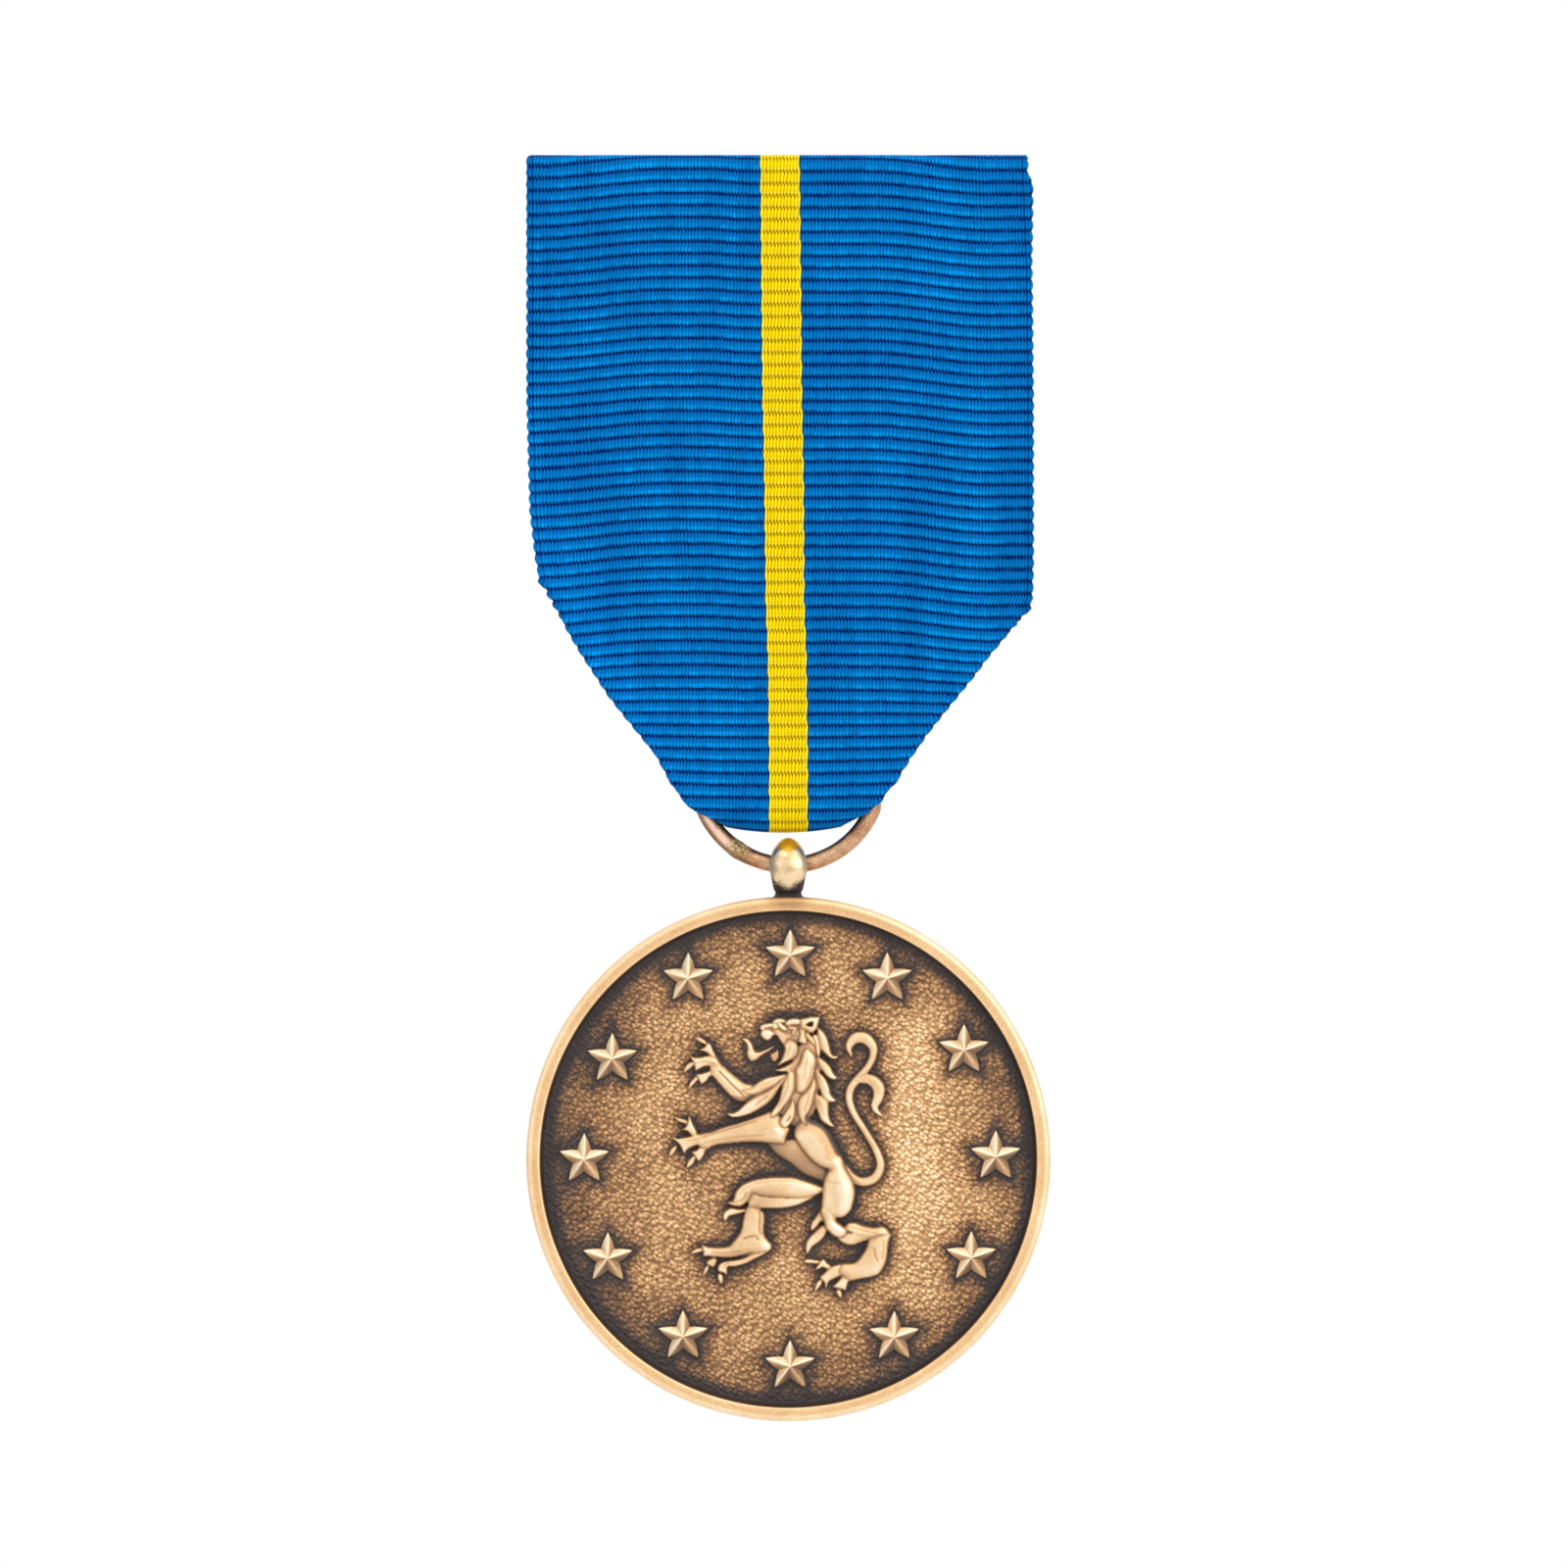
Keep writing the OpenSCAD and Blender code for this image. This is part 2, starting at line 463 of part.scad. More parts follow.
// Tail and its second tuft
TAIL = [
    [[4.0, -0.7, 0.40, 0.60], [4.6, -1.35, 0.34, 0.46], [5.35, -1.65, 0.30, 0.40], [6.2, -1.35, 0.34, 0.40],
        [6.65, -0.5, 0.32, 0.40], [6.35, 0.6, 0.29, 0.40], [5.55, 2.0, 0.27, 0.40], [4.8, 3.2, 0.28, 0.40],
        [4.4, 4.3, 0.28, 0.42], [4.55, 5.2, 0.28, 0.44], [5.15, 5.95, 0.28, 0.44], [5.75, 6.7, 0.26, 0.42],
        [6.1, 7.45, 0.26, 0.42], [6.1, 8.15, 0.36, 0.44], [5.55, 8.75, 0.42, 0.46], [4.8, 8.75, 0.40, 0.46],
        [4.35, 8.15, 0.26, 0.40], [4.55, 7.45, 0.06, 0.20]],
    [[5.0, 5.7, 0.24, 0.42], [5.9, 5.7, 0.38, 0.46], [6.5, 5.2, 0.40, 0.46], [6.5, 4.5, 0.31, 0.40],
        [6.25, 3.85, 0.24, 0.34], [6.35, 3.45, 0.16, 0.28], [6.8, 3.15, 0.06, 0.18]]
];
LION = concat(
    UNDERLAY, HEAD, MANE, RAISED_FORELEG, STRETCHED_FORELEG, BODY, FRONT_HIND_LEG, REAR_HIND_LEG, TAIL
);
RIDGE_SPANS = 6;

// Direction of a run at one station, from the station before it to the one after it
function run_direction(run, i) =
    let (
        ahead = run[min(i + 1, len(run) - 1)],
        behind = run[max(i - 1, 0)],
        step = [ahead[0] - behind[0], ahead[1] - behind[1]]
    )
    step / norm(step);

// Section across a run: half an oval above the field, closed by a flat foot below it
function ridge_section(run, i) =
    let (
        station = run[i],
        along = run_direction(run, i),
        side = [-along[1], along[0]],
        turns = [for (k = [0 : RIDGE_SPANS]) k * 180 / RIDGE_SPANS]
    )
    concat(
        [for (turn = turns)
            [
                station[0] + side[0] * station[2] * cos(turn),
                station[1] + side[1] * station[2] * cos(turn),
                station[3] * lion_h * sin(turn)
            ]],
        [[station[0] - side[0] * station[2], station[1] - side[1] * station[2], -SUNK]],
        [[station[0] + side[0] * station[2], station[1] + side[1] * station[2], -SUNK]]
    );

module ridge(run) {
    count = RIDGE_SPANS + 3;
    last = (len(run) - 1) * count;
    points = [for (i = [0 : len(run) - 1]) each ridge_section(run, i)];
    start_cap = [for (j = [1 : count - 2]) [0, j, j + 1]];
    end_cap = [for (j = [1 : count - 2]) [last, last + j + 1, last + j]];
    polyhedron(points = points, faces = concat(skin(len(run), count, false), start_cap, end_cap));
}

module lion() {
    resize([lion_w, lion_tall, 0])
        union() {
            for (run = LION)
                ridge(run);
        }
}

module medal() {
    color("peru")
        translate([hang_x, loop_y, 0]) {
            translate([0, 0, medal_z]) {
                disc();
                translate([0, field_y, 0])
                    rotate([90, 0, 0]) {
                        stars();
                        lion();
                    }
            }
            translate([0, 0, eyelet_z])
                eyelet();
        }
}

// BROOCH PIN
hinge_x = -plate_l / 2 + 2;
catch_x = plate_l / 2 - 2;
knuckle_r = 1.1;
knuckle_h = 2.4;
catch_l = 2.2;
catch_r = 1.25;
catch_hole_r = 0.7;
point_l = 2.4;
point_d = 0.15;
// How far a cutting tool reaches past what it cuts
PAST = 1;

// Plate with round ends, flat against the ribbon
module plate() {
    translate([0, plate_back_y, 0])
        rotate([90, 0, 0])
            linear_extrude(height = plate_t) {
                square([plate_l - plate_h, plate_h], center = true);
                for (side = [-1, 1])
                    translate([side * (plate_l - plate_h) / 2, 0])
                        circle(d = plate_h);
            }
}

// Block that carries the wire's fixed end
module knuckle() {
    translate([hinge_x, 0, 0])
        cylinder(h = knuckle_h, r = knuckle_r, center = true);
    translate([hinge_x - knuckle_r, plate_back_y - SUNK, -knuckle_h / 2])
        cube([2 * knuckle_r, SUNK - plate_back_y, knuckle_h]);
}

// Hook that holds the wire's point, open below
module catch() {
    translate([catch_x - catch_l / 2, 0, 0])
        difference() {
            union() {
                rotate([0, 90, 0])
                    cylinder(h = catch_l, r = catch_r);
                translate([0, plate_back_y - SUNK, -SUNK])
                    cube([catch_l, SUNK - plate_back_y, catch_r + SUNK]);
            }
            translate([-PAST, 0, 0])
                rotate([0, 90, 0])
                    cylinder(h = catch_l + 2 * PAST, r = catch_hole_r);
            translate([-PAST, -catch_hole_r, -2 * catch_r])
                cube([catch_l + 2 * PAST, 2 * catch_hole_r, 2 * catch_r]);
        }
}

module brooch_pin() {
    color("gainsboro") {
        plate();
        knuckle();
        catch();
        translate([hinge_x, 0, 0])
            rotate([0, 90, 0])
                cylinder(h = catch_x - hinge_x, d = pin_d);
        translate([catch_x, 0, 0])
            rotate([0, 90, 0])
                cylinder(h = point_l, d1 = pin_d, d2 = point_d);
    }
}

ribbon();
ring();
medal();
brooch_pin();
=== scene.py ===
"""Looks of a military medal: ribbed ribbon, wire ring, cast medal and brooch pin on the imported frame."""
import json
import logging
import math
from dataclasses import dataclass
from enum import Enum
from typing import Any, Sequence, Union

import bpy
import numpy as np
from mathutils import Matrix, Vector


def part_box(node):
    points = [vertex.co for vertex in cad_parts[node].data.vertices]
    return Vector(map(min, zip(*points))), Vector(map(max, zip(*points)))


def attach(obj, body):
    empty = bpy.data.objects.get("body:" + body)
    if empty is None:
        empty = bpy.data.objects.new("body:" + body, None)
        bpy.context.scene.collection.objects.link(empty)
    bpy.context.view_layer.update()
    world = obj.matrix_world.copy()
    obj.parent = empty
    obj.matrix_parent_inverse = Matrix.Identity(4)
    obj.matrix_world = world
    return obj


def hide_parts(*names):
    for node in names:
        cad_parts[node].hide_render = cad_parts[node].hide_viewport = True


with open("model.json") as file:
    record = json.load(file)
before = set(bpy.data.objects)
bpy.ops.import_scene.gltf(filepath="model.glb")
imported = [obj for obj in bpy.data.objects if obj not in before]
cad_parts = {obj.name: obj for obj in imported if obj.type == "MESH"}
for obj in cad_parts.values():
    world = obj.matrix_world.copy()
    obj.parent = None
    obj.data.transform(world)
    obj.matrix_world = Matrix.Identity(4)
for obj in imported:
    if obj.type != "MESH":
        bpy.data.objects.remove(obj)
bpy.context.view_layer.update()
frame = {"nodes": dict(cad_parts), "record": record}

MM = 0.001
IN_MM = 1 / MM
LOG = logging.getLogger("medal")
Array = np.ndarray
Number = Union[int, float]
Colour = tuple[float, float, float, float]


class Body(str, Enum):
    """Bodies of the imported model."""

    UPPER = "ribbon_and_ring"
    DROP = "drop"


class Mix(str, Enum):
    """Ways to lay one colour over another."""

    BLEND = "MIX"
    MULTIPLY = "MULTIPLY"


def srgb(red: Number, green: Number, blue: Number) -> Colour:
    """Linear colour of a screen colour.

    Args:
        red, green, blue: Parts from 0 to 255.

    Returns:
        Linear red, green and blue with a full alpha.
    """
    parts = np.array([red, green, blue]) / 255.0
    linear = np.where(parts <= 0.04045, parts / 12.92, ((parts + 0.055) / 1.055) ** 2.4)
    return (float(linear[0]), float(linear[1]), float(linear[2]), 1.0)


def smooth(value: Array, low: Number, high: Number) -> Array:
    """Soft step: 0 up to low, 1 from high on, and 3t^2 - 2t^3 between them."""
    t = np.clip((value - low) / (high - low), 0.0, 1.0)
    return t * t * (3.0 - 2.0 * t)


def table(values: Array, rows: Sequence[Sequence[Number]], column: int) -> Array:
    """Straight lookup of a column in rows whose first column rises."""
    grid = np.array(rows, dtype=float)
    return np.interp(values, grid[:, 0], grid[:, column])


def blur(grid: Array, spread: float) -> Array:
    """Soft copy of a grid: its waves are damped by a bell of the given spread.

    Args:
        grid: Values on a regular grid.
        spread: Standard deviation of the bell, in cells.

    Returns:
        The softened grid, of the same shape.
    """
    pad = int(3 * spread) + 1
    wide = np.pad(grid, pad, mode="edge")
    rows = np.fft.fftfreq(wide.shape[0])[:, None]
    columns = np.fft.rfftfreq(wide.shape[1])[None, :]
    damping = np.exp(-2.0 * (math.pi * spread) ** 2 * (rows**2 + columns**2))
    soft = np.fft.irfft2(np.fft.rfft2(wide) * damping, s=wide.shape)
    return soft[pad:-pad, pad:-pad]


def ripple(x: Array, y: Array, size: float, seed: int) -> Array:
    """Soft unevenness from -1 to 1: the mean of six sine waves that run in seeded directions.

    Args:
        x, y: Places on the surface, in millimetres.
        size: Length of the waves, in millimetres.
        seed: Number that fixes the directions and phases.

    Returns:
        The unevenness at each place.
    """
    rng = np.random.default_rng(seed)
    total = np.zeros(np.broadcast(x, y).shape)
    for turn, phase, stretch in rng.uniform([0, 0, 0.7], [math.pi, 2 * math.pi, 1.5], (6, 3)):
        wave = 2 * math.pi / (size * stretch)
        total = total + np.sin(wave * (x * math.cos(turn) + y * math.sin(turn)) + phase)
    return total / 6.0


def curve(points: Array, steps: int) -> list[Array]:
    """Smooth curve through points, one run between each two but the first and the last.

    Between two points the curve is the cubic whose slope at each is half the step between its neighbours.

    Args:
        points: Points with one more at either end, which only gives a direction.
        steps: Places on each run; the run's last point isn't one of them.

    Returns:
        The runs. One between two points in the same place is left out.
    """
    t = np.linspace(0, 1, steps + 1)[:-1, None]
    runs = []
    for before, start, stop, after in zip(points[:-3], points[1:-2], points[2:-1], points[3:]):
        if np.allclose(start, stop):
            continue
        bend = 2 * before - 5 * start + 4 * stop - after
        twist = 3 * start - before - 3 * stop + after
        runs.append(start + 0.5 * t * (stop - before + t * (bend + t * twist)))
    return runs


def listed(*parts: Any) -> Array:
    """Points, one a row, from grids of their parts; a row, column or number stands for a whole grid."""
    return np.stack(np.broadcast_arrays(*parts), axis=-1).reshape(-1, len(parts))


def full_turn(count: int) -> Array:
    """Angles of so many even steps once round, from 0 on."""
    return np.linspace(0, 2 * math.pi, count + 1)[:-1]


def numbered(places: Array, along: bool = False) -> Array:
    """Point numbers of a grid that closes across, so its first column comes again at the end.

    Args:
        places: Any array of the grid's shape.
        along: Whether the first row comes again too.

    Returns:
        The numbers, one column wider and on demand one row longer than the grid.
    """
    index = np.arange(places.size).reshape(places.shape)
    if along:
        index = np.concatenate([index, index[:1]], axis=0)
    return np.concatenate([index, index[:, :1]], axis=1)


def grid_faces(index: Array) -> Array:
    """Quads of a grid of point numbers; each goes along its row first, then to the next row."""
    corners = [index[:-1, :-1], index[:-1, 1:], index[1:, 1:], index[1:, :-1]]
    return np.stack(corners, axis=-1).reshape(-1, 4)


def fan(ring: Array, tip: int) -> Array:
    """Triangles from one point to each side of a closed ring of points."""
    return np.stack([ring, np.roll(ring, -1), np.full(len(ring), tip)], axis=-1)


def turned_faces(places: Array) -> list[Array]:
    """Faces of a form turned once round: its grid, and a fan to the point that closes either end.

    Args:
        places: Any array of the grid's shape, with one row for each ring.

    Returns:
        The faces. The points of the ends come after the grid's, the first ring's before the last one's.
    """
    index = numbered(places)
    first, last = index[0, :-1], index[-1, :-1]
    return [grid_faces(index), fan(first[::-1], places.size), fan(last, places.size + 1)]


def slab_faces(places: Array) -> list[Array]:
    """Faces of a sheet with two sides: its face, its underside and the wall round both.

    Args:
        places: Any array of the grid's shape. The underside's points come after the face's.

    Returns:
        The faces.
    """
    count = places.size
    index = np.arange(count).reshape(places.shape)
    rim = np.concatenate([index[0, :-1], index[:-1, -1], index[-1, :0:-1], index[:0:-1, 0]])
    closed = np.append(rim, rim[0])
    wall = np.stack([closed[:-1], closed[:-1] + count, closed[1:] + count, closed[1:]], axis=-1)
    return [grid_faces(index), grid_faces(index)[:, ::-1] + count, wall]


def volume(points: Array, faces: Sequence[Array]) -> float:
    """Volume inside the faces: a sixth of the sum of the corner products of their triangles.

    Args:
        points: Points of a closed form.
        faces: Its faces, in groups with the same number of corners.

    Returns:
        The volume, negative where the faces point inwards.
    """
    total = 0.0
    for group in faces:
        for k in range(1, group.shape[1] - 1):
            a, b, c = points[group[:, 0]], points[group[:, k]], points[group[:, k + 1]]
            total += float(np.einsum("ij,ij->i", a, np.cross(b, c)).sum()) / 6.0
    return total


def outward(points: Array, faces: Sequence[Array]) -> list[Array]:
    """The faces of a closed form, turned over where they point inwards."""
    turned = volume(points, faces) < 0
    return [group[:, ::-1] if turned else group for group in faces]


@dataclass
class Surface:
    """A closed surface: points in millimetres, its faces, and what its points carry."""

    points: Array
    faces: list[Array]
    uv: Array | None = None
    marks: dict[str, Array] | None = None

    def piece(self, name: str) -> bpy.types.Object:
        """Puts the surface into the scene with its faces pointing outwards.

        Args:
            name: Name of the new piece.

        Returns:
            The new object, at the origin, in metres.
        """
        faces = outward(self.points, self.faces)
        counts = np.concatenate([np.full(len(f), f.shape[1], dtype=np.int32) for f in faces])
        loops = np.concatenate([f.ravel() for f in faces]).astype(np.int32)
        starts = np.concatenate([[0], np.cumsum(counts)[:-1]]).astype(np.int32)
        mesh = bpy.data.meshes.new(name)
        mesh.vertices.add(len(self.points))
        mesh.vertices.foreach_set("co", (self.points * MM).astype(np.float32).ravel())
        mesh.loops.add(len(loops))
        mesh.loops.foreach_set("vertex_index", loops)
        mesh.polygons.add(len(counts))
        mesh.polygons.foreach_set("loop_start", starts)
        mesh.polygons.foreach_set("use_smooth", np.ones(len(counts), dtype=bool))
        mesh.update(calc_edges=True)
        if self.uv is not None:
            layer = mesh.uv_layers.new(name="weave")
            layer.data.foreach_set("uv", self.uv[loops].astype(np.float32).ravel())
        for mark, values in (self.marks or {}).items():
            attribute = mesh.attributes.new(mark, "FLOAT", "POINT")
            attribute.data.foreach_set("value", values.astype(np.float32).ravel())
        piece = bpy.data.objects.new(name, mesh)
        bpy.context.scene.collection.objects.link(piece)
        LOG.info("%s: %d points, %d triangles", name, len(self.points), int((counts - 2).sum()))
        return piece


class Num:
    """A number in a shader. Arithmetic on it adds Math nodes."""

    def __init__(self, shader: "Shader", socket: bpy.types.NodeSocket) -> None:
        """Wraps the socket that gives the number."""
        self.shader = shader
        self.socket = socket

    def _math(self, operation: str, *values: Any) -> "Num":
        """One Math node on the values."""
        return Num(self.shader, self.shader.node("ShaderNodeMath", {"operation": operation}, *values))

    def __add__(self, other: Any) -> "Num":
        """Sum."""
        return self._math("ADD", self, other)

    def __radd__(self, other: Any) -> "Num":
        """Sum with a plain number first."""
        return self._math("ADD", other, self)

    def __sub__(self, other: Any) -> "Num":
        """Difference."""
        return self._math("SUBTRACT", self, other)

    def __rsub__(self, other: Any) -> "Num":
        """Difference with a plain number first."""
        return self._math("SUBTRACT", other, self)

    def __mul__(self, other: Any) -> "Num":
        """Product."""
        return self._math("MULTIPLY", self, other)

    def __rmul__(self, other: Any) -> "Num":
        """Product with a plain number first."""
        return self._math("MULTIPLY", other, self)

    def __truediv__(self, other: Any) -> "Num":
        """Quotient."""
        return self._math("DIVIDE", self, other)

    def __rtruediv__(self, other: Any) -> "Num":
        """Quotient with a plain number first."""
        return self._math("DIVIDE", other, self)

    def __pow__(self, other: Any) -> "Num":
        """Power."""
        return self._math("POWER", self, other)

    def __rpow__(self, other: Any) -> "Num":
        """Power, with the other value as its base."""
        return self._math("POWER", other, self)

    def fract(self) -> "Num":
        """What is left above the whole number."""
        return self._math("FRACT", self)

    def sine(self) -> "Num":
        """Sine of the number."""
        return self._math("SINE", self)

    def size(self) -> "Num":
        """The number without its sign."""
        return self._math("ABSOLUTE", self)

    def most(self, other: Any) -> "Num":
        """The larger of two."""
        return self._math("MAXIMUM", self, other)

    def least(self, other: Any) -> "Num":
        """The smaller of two."""
        return self._math("MINIMUM", self, other)

    def step(self, low: Number, high: Number) -> "Num":
        """Soft step from 0 at low to 1 at high."""
        settings = {"interpolation_type": "SMOOTHSTEP"}
        return Num(self.shader, self.shader.node("ShaderNodeMapRange", settings, self, low, high, 0.0, 1.0))

    def band(self, low: Number, high: Number, soft: Number) -> "Num":
        """1 between low and high, 0 outside, with soft ends."""
        return self.step(low - soft, low + soft) * (1 - self.step(high - soft, high + soft))


class Shader:
    """Builds one node tree."""

    def __init__(self, tree: bpy.types.NodeTree) -> None:
        """Empties the tree."""
        self.tree = tree
        tree.nodes.clear()

    def node(self, kind: str, settings: dict[str, Any], *values: Any, out: Any = 0, **named: Any) -> Any:
        """Adds a node, sets it and links its sockets.

        Args:
            kind: Type of the node.
            settings: Its settings, set before its sockets; "stops" holds a ramp's places and colours.
            values: Values or links of its first sockets, in order; None leaves one as it is.
            out: Name or number of the output that is wanted.
            named: Values or links of sockets by name, with _ for a space.

        Returns:
            The output socket, or the node itself where it has none.
        """
        node = self.tree.nodes.new(kind)
        for key, value in settings.items():
            if key == "stops":
                elements = node.color_ramp.elements
                while len(elements) < len(value):
                    elements.new(0.5)
                for element, (place, colour) in zip(elements, value):
                    element.position = place
                    element.color = colour
            else:
                setattr(node, key, value)
        pairs = list(enumerate(values)) + [(key.replace("_", " "), value) for key, value in named.items()]
        for key, value in pairs:
            if value is None:
                continue
            if isinstance(value, Num):
                value = value.socket
            if isinstance(value, bpy.types.NodeSocket):
                self.tree.links.new(value, node.inputs[key])
            else:
                node.inputs[key].default_value = value
        return node.outputs[out] if len(node.outputs) else node

    def mix(self, factor: Any, first: Any, second: Any, mode: Mix = Mix.BLEND) -> bpy.types.NodeSocket:
        """Lays the second colour over the first.

        Args:
            factor: How much of the second colour shows.
            first, second: The colours, or links to them.
            mode: How it is laid.

        Returns:
            The mixed colour.
        """
        values = [factor, None, None, None, None, None, first, second]
        settings = {"data_type": "RGBA", "blend_type": mode.value}
        return self.node("ShaderNodeMix", settings, *values, out=2)

    def place(self) -> bpy.types.NodeSocket:
        """Place on the object, in metres."""
        return self.node("ShaderNodeTexCoord", {}, out="Object")

    def split(self, vector: bpy.types.NodeSocket) -> tuple[Num, Num, Num]:
        """The three parts of a vector."""
        node = self.node("ShaderNodeSeparateXYZ", {}, vector).node
        return Num(self, node.outputs[0]), Num(self, node.outputs[1]), Num(self, node.outputs[2])

    def join(self, x: Any, y: Any, z: Any) -> bpy.types.NodeSocket:
        """A vector of three numbers."""
        return self.node("ShaderNodeCombineXYZ", {}, x, y, z)

    def noise(self, place: bpy.types.NodeSocket, scale: Number, detail: Number = 2.0) -> Num:
        """Soft noise about 0.5."""
        return Num(self, self.node("ShaderNodeTexNoise", {}, Vector=place, Scale=scale, Detail=detail))

    def mark(self, name: str) -> Num:
        """A number that the points carry."""
        return Num(self, self.node("ShaderNodeAttribute", {"attribute_name": name}, out="Fac"))

    def finish(self, colour: Any, bump: Any, depth: float, **gloss: Any) -> None:
        """Closes a surface shader.

        Args:
            colour: Base colour.
            bump: Height from 0 to 1.
            depth: Depth of the bump, in metres.
            gloss: Other sockets of the surface by name.
        """
        normal = self.node("ShaderNodeBump", {}, Strength=1.0, Distance=depth, Height=bump)
        surface = self.node("ShaderNodeBsdfPrincipled", {}, Base_Color=colour, Normal=normal, **gloss)
        self.node("ShaderNodeOutputMaterial", {}, Surface=surface)


def new_material(name: str) -> tuple[bpy.types.Material, Shader]:
    """An empty material.

    Args:
        name: Its name.

    Returns:
        The material and the builder of its tree.
    """
    material = bpy.data.materials.new(name)
    material.use_nodes = True
    return material, Shader(material.node_tree)


@dataclass(frozen=True)
class RibbedWeave:
    """Ribbed silk ribbon: sky blue with one yellow stripe, read from the piece's own weave map.

    The map's first part is the place across, in millimetres, and its second the number of ribs. The threads'
    pitch and the stripe's half width are in millimetres too.
    """

    # Cloth colours. Shadow is painted shade on the ribs' upper sides, light the painted highlight on their
    # ledges, deep the painted shade in the valleys and the seam's colour, olive the painted shade in the
    # stripe's valleys, and pale the painted highlight on the stripe's ledges and its pale lines inside the
    # edges.
    blue: Colour = srgb(0, 111, 186)
    deep: Colour = srgb(0, 26, 92)
    shadow: Colour = srgb(0, 86, 160)
    light: Colour = srgb(0, 146, 226)
    yellow: Colour = srgb(240, 206, 8)
    olive: Colour = srgb(134, 100, 8)
    pale: Colour = srgb(255, 232, 66)
    border: Colour = srgb(8, 66, 82)
    thread: float = 0.25
    stripe: float = 1.43
    half_width: float = 18.45

    def material(self) -> bpy.types.Material:
        """Builds the cloth's material.

        A rib has painted shade in the valley before it and on its upper side, and a painted highlight on its
        lower ledge, brighter in two soft bands and slow patches of painted sheen. Threads cross it as
        lighter and darker dashes, and slow noises make the weave uneven.

        Returns:
            The material.
        """
        material, shader = new_material("ribbed_ribbon")
        across, ribs, _ = shader.split(shader.node("ShaderNodeUVMap", {"uv_map": "weave"}))
        sway = shader.noise(shader.join(across * 1.1, ribs, 0.0), 1.0, 3.0) - 0.5
        rib = (ribs + sway * 0.16).fract()
        lean = across / self.thread + rib * 0.35 + sway * 0.9
        dash = (lean * (2 * math.pi)).sine() * 0.5 + 0.5
        ply = shader.noise(shader.join(across / self.thread * 1.3, ribs * 0.45, 0.0), 1.0, 2.0)
        fibre = shader.noise(shader.join(across * 9.0, ribs * 1.4, 0.0), 1.6, 3.0)
        sheen_patch = shader.noise(shader.join(across * 0.26, ribs * 0.13, 3.0), 1.0, 3.0)
        loose = shader.noise(shader.join(across * 1.9, ribs * 1.1, 7.0), 1.0, 3.0)
        streak = shader.noise(shader.join(across * 0.8, ribs * 0.035, 11.0), 1.0, 2.0) - 0.5
        flap = self.flap(shader)
        # Painted shade in each rib's valley, broken by the threads' dashes.
        valley = 1 - (0.5 - (rib - 0.5).size() - (dash - 0.5) * 0.08).step(0.04, 0.29)
        dark = (valley * (0.62 + dash * 0.8 + (loose - 0.5) * 1.6)).most(0.0).least(1.0)
        # Painted shade on each rib's upper side, and a painted highlight on its lower ledge.
        upper = rib.band(0.14, 0.46, 0.10)
        ledge = rib.band(0.58, 0.88, 0.09)
        # Painted sheen: two soft bands across and slow patches brighten the ledges' highlight.
        sheen_bands = across.band(-11.3, -3.2, 1.6).most(across.band(8.0, 15.6, 2.2))
        glow = sheen_bands * 0.30 + (sheen_patch - 0.5) * 2.6 + streak * 1.1
        lit = (ledge * (0.34 + glow + (loose - 0.5) * 1.5) * (0.6 + (1 - dash) * 0.5 + (ply - 0.5) * 1.8))
        lit = lit.most(0.0).least(1.0)
        saw = (ribs * 0.5).fract()
        shift = (saw.step(0.72, 1.0) - (saw / 0.78).least(1.0)) * 0.11 + 0.05
        edge = (across - shift).size()
        in_stripe = 1 - edge.step(self.stripe - 0.03, self.stripe + 0.03)
        rand = edge.band(self.stripe, self.stripe + 0.11, 0.03)
        inner = edge.band(self.stripe - 0.16, self.stripe - 0.03, 0.03)
        seam = across.size().band(self.half_width - 0.52, self.half_width - 0.36, 0.06)
        blue = shader.mix(upper * 0.45, self.blue, self.shadow)
        blue = shader.mix(lit, shader.mix(dark, blue, self.deep), self.light)
        blue = shader.mix(rand * 0.75, shader.mix(seam * 0.5, blue, self.deep), self.border)
        # The stripe: painted shade in its valleys, painted highlight in pale lines on its ledges, and a pale
        # line inside each edge.
        dark_gold = dark * (0.25 + dash * 0.6)
        thin = rib.band(0.72, 0.84, 0.05) * 0.55 + inner * 0.5
        gold = shader.mix(thin, shader.mix(dark_gold, self.yellow, self.olive), self.pale)
        base = shader.mix(in_stripe, blue, gold)
        shade = 0.62 + ply * 0.28 + fibre * 0.24 + (loose - 0.5) * 0.16 + (dash - 0.5) * -0.44
        # Painted light along the lower left edge is added to the weave's shade.
        shade = shade + streak * 0.26 + flap * 0.17
        base = shader.mix(1.0, base, shader.join(shade, shade, shade), Mix.MULTIPLY)
        height = dash * 0.3 + ply * 0.3 + fibre * 0.2 - dark * 0.4 + 0.3
        rough = 0.72 + fibre * 0.15
        sheen = {"Sheen_Weight": 0.02, "Sheen_Roughness": 0.4, "Specular_IOR_Level": 0.03}
        shader.finish(base, height, 0.00004, Roughness=rough, **sheen)
        return material

    def flap(self, shader: Shader) -> Num:
        """Painted light along the cloth's lower left edge, where the cloth curls round towards the light.

        Args:
            shader: Builder of the material's tree.

        Returns:
            The share of the light, from 0 to 1.
        """
        x, _, z = shader.split(shader.place())
        left_edge = (-30.2 - z * 470).most(-18.4)
        return (1 - (x * IN_MM - left_edge).step(0.3, 5.5)) * (z * -IN_MM).step(11.0, 23.0)


